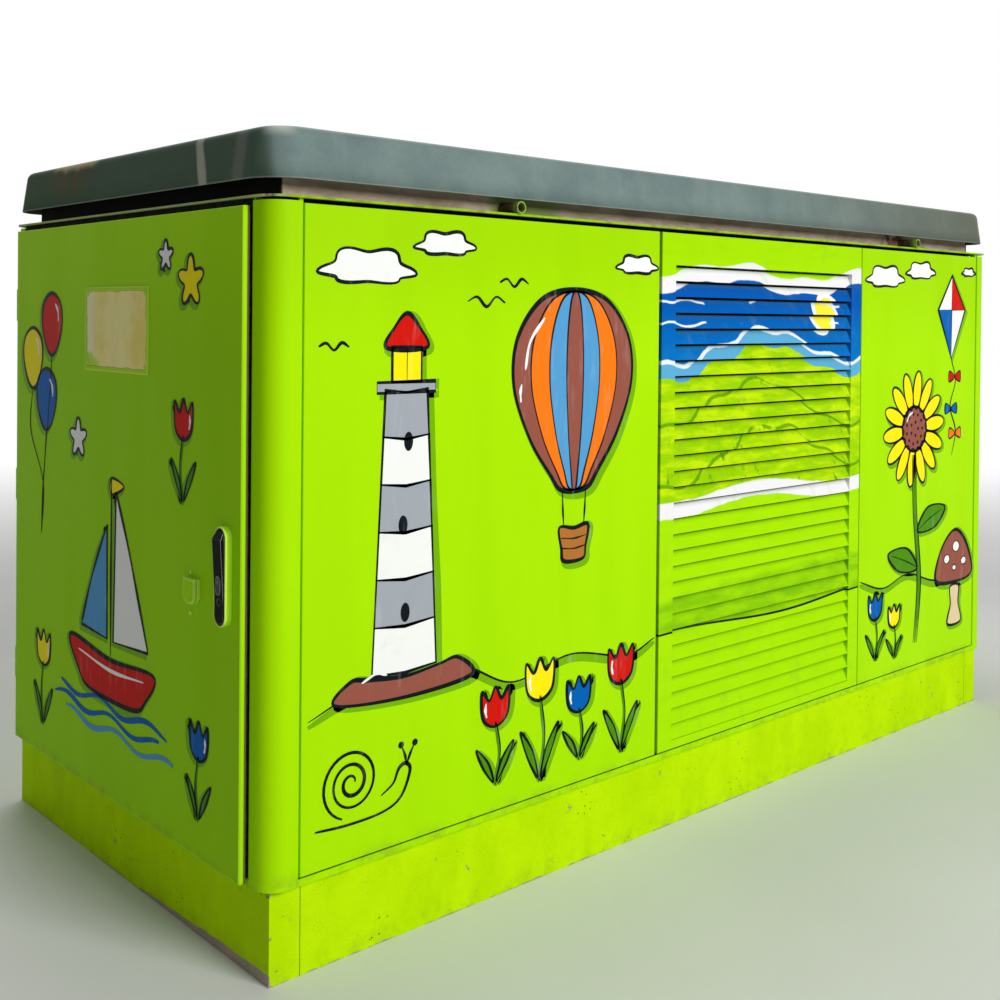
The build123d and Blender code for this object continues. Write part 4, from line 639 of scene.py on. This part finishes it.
# Sign plate: a bare pressed sheet in faded cream. Its raised rim and its rivets are brushed over with
# lime, and more of the lime has run on to the lower corner nearest the hinges. Its raised edges, outer
# edge and rivets carry painted highlights.
SIGN_LOW, SIGN_HIGH = np.array(corners("sign_plate"))
_, sign_y, sign_z = ((SIGN_LOW + SIGN_HIGH) / 2).tolist()
_, half_y, half_z = ((SIGN_HIGH - SIGN_LOW) / 2).tolist()
RIVET_INSET, CORNER_RUN = 0.018, 0.022
sign = Finish("sign_faded_cream")
fading = sign.clouds(6, 5)
runs = sign.streaks((44, 44, 5))
away_y = (sign.y - sign_y).size() - half_y
away_z = (sign.z - sign_z).size() - half_z
wobble = sign.clouds(30) * 0.012 - 0.006
corner_round = (away_y + CORNER_RUN).highest(0.0) * (away_z + CORNER_RUN).highest(0.0) * 9.0
rim = (away_y.highest(away_z) + corner_round + wobble).fade(-0.0115, -0.0085)
patch_gap = ((sign.y - (sign_y + half_y)) * 0.6).diagonal(sign.z - (sign_z - half_z))
spill = (patch_gap + runs * 0.05 + wobble).fade(0.084, 0.07)
outer_line = away_y.highest(away_z).fade(-0.0034, -0.0028)
step_line = (away_y.highest(away_z) + corner_round + wobble + 0.0112).size().fade(0.0014, 0.0008)
rivets = (away_y + RIVET_INSET).diagonal(away_z + RIVET_INSET).fade(0.006, 0.0045)
sign.base(fading.fade(0.38, 0.66), (252, 242, 164), (240, 222, 116))
sign.coat(runs.fade(0.5, 0.72) * 0.25, 222, 212, 146)
sign.coat((sign.y - sign_y).fade(0.09, 0.17), 250, 246, 206)
sign.coat(rim.highest(spill * 0.85).highest(rivets), 176, 226, 30)
sign.coat(step_line * 0.6, 112, 150, 10)
# Painted highlights on the raised edges, the plate's outer edge and the rivets.
raised_edge_highlight = sign.flatness(0.002).fade(0.985, 0.87).highest(outer_line).highest(rivets)
sign.coat(raised_edge_highlight * 0.6, 226, 246, 120)
sign.done(fading * 0.3 + 0.35, fading + runs, 0.0003, shine=SATIN_PAINT)
sign.dress("sign_plate")

# Transformer: welded tank with fins, and its bolted cover, in grey air-drying paint with patches of
# pale dust.
TANK_GREY = (98, 106, 108), (128, 130, 122)
tank = plain_skin("transformer_grey", (8, 5), (0.4, 0.7), TANK_GREY, (0.3, 0.4), 0.0006)
tank.dress("transformer_tank", "transformer_cover")

# Insulators: bushings of brown glazed porcelain that stand on the transformer's cover, for the high and
# the low voltage.
BROWN_GLAZE = (84, 40, 22), (112, 58, 34)
porcelain = plain_skin("brown_porcelain", (30, 4), (0.35, 0.65), BROWN_GLAZE, (0.1, 0.1), 0.0002)
porcelain.dress("transformer_hv_bushings", "transformer_lv_bushings")

# Switchgear: body and covers of folded sheet in light grey powder coat, with a fine orange-peel and a
# little dust low down.
gear = Finish("switchgear_powder_coat")
peel = gear.clouds(320, 2, 0.5)
dust = gear.clouds(7, 4, 0.5) + gear.z.fade(0.9, 0.3) * 0.1
gear.base(dust.fade(0.5, 0.75) * 0.5, (208, 212, 208), (184, 182, 170))
gear.done(dust * 0.25 + 0.35, peel, 0.0004)
gear.dress("switchgear_body", "switchgear_covers")


# Operating panel: dark moulded fronts of the three switch bays, with the painted lines that show how the
# current runs: a rail along the top, a drop through each pair of shafts, and rings round the shafts.
def moulded(name):
    """A finish begun as dark moulded plastic, and the haze of dust on it."""
    plastic = Finish(name)
    haze = plastic.clouds(9, 4, 0.5)
    plastic.base(haze.fade(0.4, 0.7), (58, 62, 66), (84, 88, 90))
    return plastic, haze


BAY, UPPER_SHAFT, LOWER_SHAFT, RING = 0.328, 1.194, 0.954, 0.034
RAIL_LEVEL, BAR_LEVEL, BAR_HALF, FIELD_X, FIELD_HALF = 1.272, 0.876, 0.025, -1.242, 0.136
panel, haze = moulded("operating_panel")
bay_y = ((panel.y * (1 / BAY) + 0.5).fraction() - 0.5) * BAY
shaft_gap = bay_y.diagonal(panel.z - UPPER_SHAFT).lowest(bay_y.diagonal(panel.z - LOWER_SHAFT))
drop = panel.z.fade(BAR_LEVEL - 0.002, BAR_LEVEL) * panel.z.fade(RAIL_LEVEL + 0.004, RAIL_LEVEL + 0.002)
drop *= bay_y.size().fade(0.0042, 0.003)
rail = (panel.z - RAIL_LEVEL).size().fade(0.0052, 0.004)
foot_bars = (panel.z - BAR_LEVEL).size().fade(0.003, 0.002)
foot_bars *= bay_y.size().fade(BAR_HALF + 0.001, BAR_HALF - 0.001)
ring_line = (shaft_gap - RING).size().fade(0.003, 0.002)
painted = drop.highest(rail).highest(foot_bars) * shaft_gap.fade(RING - 0.003, RING - 0.001)
field = panel.x.fade(FIELD_X + 0.0015, FIELD_X + 0.0005)
field *= bay_y.size().fade(FIELD_HALF + 0.001, FIELD_HALF - 0.001)
panel.coat(painted.highest(ring_line) * field * haze.fade(0.2, 0.45), 206, 206, 196)
panel.done(haze * 0.2 + 0.4, panel.clouds(260, 3), 0.0003)
panel.dress("switchgear_control_panel")

# Fuse strips: upright fuse holders on the low voltage board, moulded in the same dark plastic as the
# operating panel and hazed by dust.
moulding, haze = moulded("dark_moulding")
moulding.done(haze * 0.2 + 0.4, moulding.clouds(260, 3), 0.0003)
moulding.dress("lv_fuse_strips")

# Busbars: bare copper bars on the low voltage board, darkened by handling. The fuse links in their strips
# are glazed white ceramic.
copper = Finish("busbar_copper")
tarnish = copper.streaks((8, 8, 40), 5)
copper.base(tarnish.fade(0.35, 0.68), (196, 116, 72), (130, 74, 48))
copper.done(tarnish * 0.3 + 0.2, tarnish, 0.0002, Metallic=0.9)
copper.dress("lv_board_busbars", "lv_neutral_bar")
WHITE_GLAZE = (224, 220, 206), (200, 194, 176)
ceramic = plain_skin("fuse_ceramic", (40, 4), (0.4, 0.7), WHITE_GLAZE, (0.15, 0.2), 0.0002)
ceramic.dress("lv_fuse_links")

# Painted pictures: plain motifs brushed on the panels and the left door in enamel, each with a
# darker green shade beside it, flat colour, dark contour lines of uneven width and a few white lights.
MILLIMETRE = 0.001
DOOR_SKIN = -LEAF_FACE
SHADE, FAR, FILL, DETAIL, CONTOUR, LIGHT = 0.0003, 0.0004, 0.0006, 0.0008, 0.0010, 0.0012
FILM = 0.0002
INK = tint(18, 24, 30)
WHITE = tint(240, 242, 238)
RED = tint(206, 24, 14)
YELLOW = tint(250, 232, 10)
ORANGE = tint(250, 122, 24)
BLUE = tint(0, 96, 178)
SKY = tint(84, 156, 208)
MAUVE = tint(148, 84, 70)
GREY = tint(160, 166, 174)
LEAF = tint(76, 140, 10)
SHADE_GREEN = tint(116, 176, 6)

enamel = Finish("picture_enamel")
drag = enamel.streaks((48, 48, 8.4), 5)
thin = enamel.clouds(9)
enamel.colour = enamel.place.node("Attribute", {"attribute_name": "enamel"}, {}, "Color")
enamel.coat(drag.fade(0.52, 0.75) * 0.07, 255, 255, 255)
enamel.coat(thin.fade(0.55, 0.8) * 0.1, 40, 60, 20)
enamel.done(drag * 0.25 + 0.28, drag, 0.0003, shine=SATIN_PAINT)


def smooth_path(points, closed=True, steps=10):
    """A curve through the points, in millimetres: between b and c, with a and d beside them, it is
    (2b + (c - a)t + (2a - 5b + 4c - d)t^2 + (3b - a - 3c + d)t^3) / 2 for t from 0 to 1."""
    p = np.array(points, float)
    if closed:
        a, b, c, d = np.roll(p, 1, 0), p, np.roll(p, -1, 0), np.roll(p, -2, 0)
    else:
        ends = np.vstack([2 * p[0] - p[1], p, 2 * p[-1] - p[-2]])
        a, b, c, d = ends[:-3], ends[1:-2], ends[2:-1], ends[3:]
    t = np.linspace(0, 1, steps, endpoint=False)[None, :, None]
    a, b, c, d = (q[:, None, :] for q in (a, b, c, d))
    curve = (2 * b + (c - a) * t + (2 * a - 5 * b + 4 * c - d) * t**2 + (3 * b - a - 3 * c + d) * t**3) / 2
    curve = curve.reshape(-1, 2)
    return curve if closed else np.vstack([curve, p[-1]])


def round_path(middle, radii, lobes=0, depth=0.0, turn=0.0, steps=48):
    """An oval whose radius swells lobes times round by the share depth: r = 1 + depth cos(lobes a)."""
    a = np.linspace(0, 2 * np.pi, steps, endpoint=False)
    r = 1 + depth * np.cos(lobes * a)
    flat = r[:, None] * unit(a) * radii
    c, s = np.cos(turn), np.sin(turn)
    return flat @ np.array([[c, s], [-s, c]]) + middle


def fill(path, colour, lift=FILL):
    """A patch of flat colour inside a closed path."""
    return ("fill", np.asarray(path, float), colour, lift)


def line(path, width, closed=True, colour=INK, lift=CONTOUR):
    """A brush line along a path. Its width swings by a quarter, and an open line thins at its ends."""
    path = np.asarray(path, float)
    share = np.linspace(0, 1, len(path))
    if closed:
        along = np.roll(path, -1, 0) - np.roll(path, 1, 0)
        half = width / 2 * (1 + 0.25 * np.sin(2 * np.pi * (2 * share + path[0, 0] / 97)))
    else:
        along = np.gradient(path, axis=0)
        half = width / 2 * (1 + 0.25 * np.sin(9 * share + path[0, 1]))
        half *= 0.35 + 0.65 * np.sin(np.pi * share) ** 0.4
    across = np.column_stack([-along[:, 1], along[:, 0]])
    across /= np.maximum(np.linalg.norm(across, axis=1), 1e-9)[:, None]
    sides = np.stack([path + across * half[:, None], path - across * half[:, None]])
    return ("line", sides, colour, lift, closed)


def stroke(points, width, colour=INK, lift=CONTOUR, steps=10):
    """An open brush line through the points."""
    return line(smooth_path(points, False, steps), width, False, colour, lift)


def gleam(points, width):
    """A white light, the topmost layer of a picture."""
    return stroke(points, width, WHITE, LIGHT)


def area(path):
    """Twice the signed area that a closed path turns round, positive when it runs leftwards round."""
    following = np.roll(path, -1, 0)
    return np.sum(path[:, 0] * following[:, 1] - path[:, 1] * following[:, 0])


def paint(name, layers, body="housing"):
    """Turns layers drawn in millimetres on a face into one film of enamel that rides on a body. On the
    front, (a, b) lies at X = left + a, Z = b; on the left door at Y = front + a, Z = b."""
    points, faces, colours, count = [], [], [], 0
    on_door = body == "left_door"
    turn = -1 if on_door else 1
    for kind, path, colour, lift, *closed in layers:
        if kind == "fill":
            loop = np.arange(len(path))
            made = (loop if area(path) * turn > 0 else loop[::-1])[None]
        else:
            size = path.shape[1]
            i = np.arange(size if closed[0] else size - 1)
            j = (i + 1) % size
            made = np.column_stack([i, i + size, j + size, j])[:, ::turn]
            path = path.reshape(-1, 2)
        flat = path * MILLIMETRE
        lifts = np.full(len(flat), lift)
        if on_door:
            points.append(np.column_stack([DOOR_SKIN - lifts, BODY_FRONT + flat[:, 0], flat[:, 1]]))
        else:
            points.append(np.column_stack([BODY_LEFT + flat[:, 0], BODY_FRONT - lifts, flat[:, 1]]))
        faces += (made + count).tolist()
        colours.append(np.tile(colour, (made.size, 1)))
        count += len(flat)
    picture = surface(f"picture_{name}", np.vstack(points), faces, enamel)
    layer = picture.data.color_attributes.new("enamel", "FLOAT_COLOR", "CORNER")
    layer.data.foreach_set("color", np.vstack(colours).astype(np.float32).ravel())
    film = picture.modifiers.new("film", "SOLIDIFY")
    film.thickness = FILM
    film.offset = -1
    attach(picture, body)


def outlined(path, colour, width=9.0, shade=True):
    """A filled shape with its contour and, beside it, the darker green shade."""
    layers = [fill(path, colour), line(path, width)]
    if shade:
        layers.insert(0, line(np.asarray(path) + (9, -7), width * 2.4, colour=SHADE_GREEN, lift=SHADE))
    return layers


def shape(points, colour, width=9.0, shade=True):
    """An outlined shape whose edge runs smoothly through the points."""
    return outlined(smooth_path(points), colour, width, shade)


# Balloon with gores, high on the wide front panel.
CENTRE = np.array([905, 1235])
half_envelope = np.array([(0, 262), (120, 236), (202, 140), (214, 20), (160, -110), (88, -205), (44, -250)])
envelope = np.vstack([half_envelope, half_envelope[:0:-1] * (-1, 1)])
art = shape(CENTRE + envelope, MAUVE, 11)
for share, colour in ((0.72, ORANGE), (0.42, SKY), (0.14, MAUVE)):
    gore = smooth_path(CENTRE + envelope * (share, 0.985))
    art += [fill(gore, colour, FILL + 0.0001 * (1 - share)), line(gore, 5)]
art += [gleam(CENTRE + [(-176, 60), (-160, 130), (-110, 190)], 9)]
art += [gleam(CENTRE + [(-190, -20), (-192, 5), (-188, 25)], 8)]
for side in (-1, 1):
    art += [stroke(CENTRE + [(side * 42, -252), (side * 40, -300), (side * 36, -345)], 5)]
basket = [(-52, -345), (0, -350), (52, -345), (44, -400), (34, -432), (-34, -432), (-44, -400)]
art += shape(CENTRE + basket, tint(176, 112, 50), 9)
for drop in (-372, -398):
    art += [stroke(CENTRE + [(-46, drop), (0, drop - 5), (46, drop)], 4)]
paint("balloon", art)

# Lighthouse in grey and white bands, at the left of the wide front panel.
FOOT = np.array([360, 620])
BANDS, TOWER_HEIGHT = 6, 640
half_tower = np.array([(92, 0), (84, 180), (72, 400), (60, 640)])
tower = FOOT + np.vstack([(-92, 0), half_tower, half_tower[:0:-1] * (-1, 1)])
art = [line(tower + (9, -7), 24, colour=SHADE_GREEN, lift=SHADE)]
for band in range(BANDS):
    edges = []
    for share in (band / BANDS, (band + 1) / BANDS):
        half, level = 92 - 32 * share, TOWER_HEIGHT * share
        edges.append([(-half, level), (0, level - 8), (half, level)])
    stripe = FOOT + np.vstack([edges[0], edges[1][::-1]])
    art += [fill(stripe, GREY if band % 2 else WHITE), line(stripe, 7)]
gallery = FOOT + [(-84, 632), (84, 632), (84, 656), (-84, 656)]
lamp = FOOT + [(-42, 656), (42, 656), (42, 736), (-42, 736)]
roof = FOOT + [(-58, 734), (58, 734), (34, 782), (0, 812), (-34, 782)]
art += outlined(gallery, GREY, 8) + outlined(lamp, YELLOW, 8) + shape(roof, RED, 9)
art += [line(FOOT + [(0, 660), (0, 732)], 5, False)]
for window in ((0, 130), (-8, 330), (6, 520)):
    art += [fill(round_path(FOOT + window, (13, 22)), INK, DETAIL)]
rock = [(-190, -46), (-150, -2), (-100, -6), (0, -16), (100, -6), (160, 0), (200, -50), (0, -64)]
art += shape(FOOT + rock, MAUVE, 9)
art += [gleam(FOOT + [(-120, -10), (-80, 4), (-50, -4)], 6)]
paint("lighthouse", art)

# A row of tulips low on each of the plain front panels.
HALF_BLOOM = np.array([(0, -0.1), (0.36, 0.12), (0.4, 0.72), (0.18, 0.5), (0, 0.78)])
BLOOM = np.vstack([HALF_BLOOM, HALF_BLOOM[3:0:-1] * (-1, 1)])
BLOOM_LIGHT = np.array([(-0.26, 0.14), (-0.3, 0.3), (-0.28, 0.46)])


def tulip(root, height, size, colour):
    """Stem, two leaves and a three-pointed bloom, drawn up from the root."""
    x, z = root
    stem = smooth_path([(x, z), (x + size * 0.12, z + height * 0.5), (x, z + height)], False)
    parts = [line(stem, size * 0.09, False, LEAF, FILL), line(stem + (4, 0), 4, False)]
    for side in (-1, 1):
        reach = side * size
        blade = [(x + side * 5, z + 4), (x + reach * 0.35, z + height * 0.3)]
        blade += [(x + reach * 0.55, z + height * 0.62), (x + reach * 0.2, z + height * 0.36)]
        parts += shape(blade, LEAF, 6)
    bloom = (x, z + height) + size * BLOOM
    parts += shape(bloom, colour, 8)
    parts += [gleam((x, z + height) + size * BLOOM_LIGHT, 7)]
    return parts


art = tulip((640, 290), 150, 110, RED) + tulip((790, 265), 210, 120, YELLOW)
art += tulip((930, 285), 130, 105, BLUE) + tulip((1090, 270), 190, 120, RED)
paint("tulips_left", art)
art = tulip((2350, 290), 140, 105, BLUE) + tulip((2470, 275), 110, 90, YELLOW)
paint("tulips_right", art)

# Sunflower on the narrow front panel.
HEAD = np.array([2590, 1050])
stem = smooth_path([(2610, 300), (2632, 520), (2600, 760), (2590, 960)], False)
art = [line(stem, 22, False, LEAF, FILL), line(stem + (12, 0), 6, False), line(stem - (12, 0), 5, False)]
for side, level in ((-1, 560), (1, 690)):
    blade = (2618, level) + np.array([(0, 0), (70, 78), (190, 70), (120, 4)]) * (side, 1)
    art += shape(blade, LEAF, 8)
    rib = [(2620, level + 4), (2618 + side * 80, level + 36), (2618 + side * 165, level + 62)]
    art += [stroke(rib, 4)]
PETALS, PETAL_RING = 14, 128
for number in range(PETALS):
    a = 2 * np.pi * number / PETALS + 0.1
    middle = HEAD + PETAL_RING * unit(a)
    art += outlined(round_path(middle, (66, 27), 1, 0.12, a), YELLOW, 7)
art += outlined(round_path(HEAD, (80, 78)), MAUVE, 9, False)
for ring_radius, dots in ((24, 5), (52, 11)):
    for number in range(dots):
        a = 2 * np.pi * number / dots
        dot = round_path(HEAD + ring_radius * unit(a), (6, 6), steps=12)
        art += [fill(dot, INK, DETAIL)]
art += [gleam(HEAD + [(-52, 26), (-36, 48), (-12, 58)], 7)]
paint("sunflower", art)

# Kite with a bowed tail at the top right of the narrow front panel.
MID = np.array([2840, 1440])
tips = MID + [(0, 150), (96, 26), (0, -150), (-96, 26)]
art = outlined(tips, WHITE, 10)
for number, colour in ((0, RED), (2, BLUE)):
    quarter = [MID + (0, 26), tips[number], tips[(number + 1) % 4]]
    art += [fill(quarter, colour, DETAIL), line(quarter, 5)]
art += [stroke([MID - (0, 150), (2872, 1210), (2836, 1120), (2876, 1030), (2850, 940)], 6)]
for spot, colour in (((2866, 1225), RED), ((2842, 1110), BLUE), ((2872, 1020), ORANGE)):
    for side in (-1, 1):
        bow = spot + np.array([(0, 0), (side * 38, 20), (side * 40, -18)])
        art += shape(bow, colour, 5, False)
paint("kite", art)


# Clouds along the tops of the front panels.
def cloud(middle, span, tilt):
    """A flat-footed cloud: puffs r = 1 + 0.13 cos 6a on an oval, pressed to 0.4 of its depth below."""
    puffs = round_path((0, 0), (span, span * 0.45), 6, 0.13, tilt * 0.01, 70)
    puffs[:, 1] *= np.where(puffs[:, 1] < 0, 0.4, 1.0)
    return outlined(puffs + middle, WHITE, 7, False)


art = cloud((250, 1520), 120, 1) + cloud((470, 1585), 84, 4) + cloud((1140, 1560), 76, 2)
paint("clouds_left", art)
art = cloud((2390, 1560), 110, 3) + cloud((2620, 1590), 90, 5) + cloud((2960, 1600), 46, 2)
paint("clouds_right", art)

# Toadstool at the right of the narrow front panel.
stalk = [(2836, 330), (2930, 330), (2912, 400), (2914, 462), (2852, 462), (2856, 400)]
cap = [(2748, 500), (2790, 610), (2884, 668), (2968, 610), (3008, 500), (2884, 478)]
art = shape(stalk, tint(226, 204, 160), 8) + shape(cap, MAUVE, 11)
for x, z, size in ((2826, 566, 20), (2892, 606, 24), (2948, 548, 18), (2880, 530, 13)):
    spot = round_path((x, z), (size, size * 0.8), steps=20)
    art += [fill(spot, WHITE, DETAIL), line(spot, 4)]
paint("toadstool", art)

# Snail drawn with the thin brush alone, low at the left of the wide front panel.
turns = np.linspace(0, 5.4 * np.pi, 90)
shell = np.array([215, 395]) + (9 + 4.1 * turns)[:, None] * unit(turns)
foot = [(120, 310), (205, 304), (300, 308), (352, 330), (378, 384), (366, 404), (346, 396), (330, 366)]
art = [line(shell, 8, False), stroke(foot + [(296, 346)], 8)]
for tip in ((352, 448), (392, 446)):
    art += [stroke([(368, 400), (370 + (tip[0] - 370) * 0.4, 424), tip], 6)]
    art += [fill(round_path(tip, (8, 8), steps=14), INK, DETAIL)]
paint("snail", art)

# Birds and a rolling horizon line drawn with the thin brush.
WINGS = np.array([(-1, 0.2), (-0.5, 0.38), (0, 0), (0.5, 0.4), (1, 0.16)])
art = []
for x, z, span in ((600, 1450, 60), (690, 1500, 48), (160, 1350, 40)):
    art += [stroke((x, z) + span * WINGS, 7)]
left_hills = [(100, 552), (220, 590), (380, 602), (540, 592), (700, 526), (900, 560), (1110, 520)]
left_hills.append((1226, 548))
right_hills = [(2254, 560), (2400, 520), (2560, 548), (2760, 500), (2990, 540)]
for name, hills in (("horizon_left", left_hills), ("horizon_right", right_hills)):
    art += [stroke(hills, 6, lift=FAR), stroke(np.array(hills) - (0, 12), 22, SHADE_GREEN, SHADE)]
    paint(name, art)
    art = []

# Sailing boat on the left door.
BOAT = np.array([700, 560])
hull = BOAT + [(-230, 10), (0, 0), (240, 22), (190, -60), (120, -96), (-120, -96), (-190, -60)]
after_edge = smooth_path([(-26, 424), (-92, 300), (-152, 170), (-202, 58)], False)
mainsail = BOAT + np.vstack([after_edge, [(-14, 48)]])
fore_edge = smooth_path([(174, 60), (124, 170), (72, 262), (24, 336)], False)
foresail = BOAT + np.vstack([fore_edge, [(22, 50)]])
art = shape(hull, RED, 10) + outlined(mainsail, WHITE, 9) + outlined(foresail, SKY, 9)
art += [line(BOAT + [(2, 10), (2, 200), (0, 455)], 10, False)]
art += shape(BOAT + [(0, 455), (-70, 440), (0, 415)], YELLOW, 6)
art += [gleam(BOAT + [(-180, -16), (0, -26), (190, -8)], 8)]
for drop, shift in ((-118, 0), (-150, 40), (-182, -30)):
    x = np.arange(-300, 301, 30)
    wave = np.column_stack([x + shift, drop + 12 * np.sin(x / 42 + shift)])
    art += [stroke(BOAT + wave, 13, BLUE if drop > -180 else SKY, steps=4)]
paint("boat", art, "left_door")

# Three toy balloons on strings, at the hinge side of the left door.
BALLOONS = (1075, 1395, RED), (1205, 1300, YELLOW), (1110, 1190, BLUE)
HALF_SKIN = np.array([(0, 84), (56, 56), (66, 0), (38, -60), (0, -84)])
SKIN = np.vstack([HALF_SKIN, HALF_SKIN[3:0:-1] * (-1, 1)])
art = [stroke([(x, z - 82), (x + 14, z - 200), (1130, 960), (1140, 820)], 5) for x, z, _ in BALLOONS]
for x, z, colour in BALLOONS:
    art += shape((x, z) + SKIN, colour, 9)
    art += [gleam([(x - 44, z + 8), (x - 40, z + 36), (x - 22, z + 56)], 9)]
paint("toy_balloons", art, "left_door")

# Flowers and stars on the rest of the left door.
art = tulip((330, 1000), 150, 105, RED) + tulip((1120, 300), 170, 110, YELLOW)
art += tulip((250, 300), 140, 100, BLUE)
for x, z, size, colour in ((300, 1500, 46, YELLOW), (900, 1100, 40, WHITE), (420, 1560, 28, WHITE)):
    art += outlined(round_path((x, z), (size, size), 5, 0.32, 0.3, 60), colour, 7)
paint("flowers", art, "left_door")

# Studio: a pale floor, a broad key light from the front and right, and weak light from all round, so
# that the front is bright and the left end stands in shade. The background is white to the camera.
REACH, FADE_FROM, FADE_TO = 40.0, 2.4, 9.5
ROOM_LIGHT = 0.22
square = REACH * np.array([(-1, -1, 0), (1, -1, 0), (1, 1, 0), (-1, 1, 0)])
stone = Finish("pale_floor")
wash = stone.clouds(0.6, 3, 0.5)
stone.base(wash.fade(0.3, 0.7), (222, 222, 220), (230, 230, 228))
near = stone.x.diagonal(stone.y).fade(FADE_TO, FADE_FROM)
stone.done(0.9, shine=0.0, Alpha=near)
floor = surface("floor", square, [(0, 1, 2, 3)], stone)

world = bpy.data.worlds.new("studio")
world.use_nodes = True
scene.world = world
room = world.node_tree
backdrop = room.nodes["Background"]
to_camera = Wire(room).node("LightPath", {}, {}, "Is Camera Ray")
glossy = Wire(room, to_camera.socket.node.outputs["Is Glossy Ray"])
through = Wire(room, to_camera.socket.node.outputs["Is Transmission Ray"])
seen = to_camera.highest(glossy).highest(through)
backdrop.inputs["Color"].default_value = tint(255, 255, 255)
room.links.new((seen * (1 - ROOM_LIGHT) + ROOM_LIGHT).socket, backdrop.inputs["Strength"])


def lamp_at(name, place, aim, size, power):
    """A square soft light at a place, turned to face its aim."""
    light = bpy.data.lights.new(name, "AREA")
    light.size = size
    light.energy = power
    back = np.subtract(place, aim)
    back /= np.linalg.norm(back)
    side = np.cross((0, 0, 1), back)
    side /= np.linalg.norm(side)
    placed(name, light, side, np.cross(back, side), back, place)


lamp_at("key", (0.4, -9.4, 4.8), (0.0, -0.7, 0.9), 4.0, 770)
lamp_at("overhead", (0.4, 2.6, 7.0), (-0.6, 1.2, 0.0), 4.0, 190)
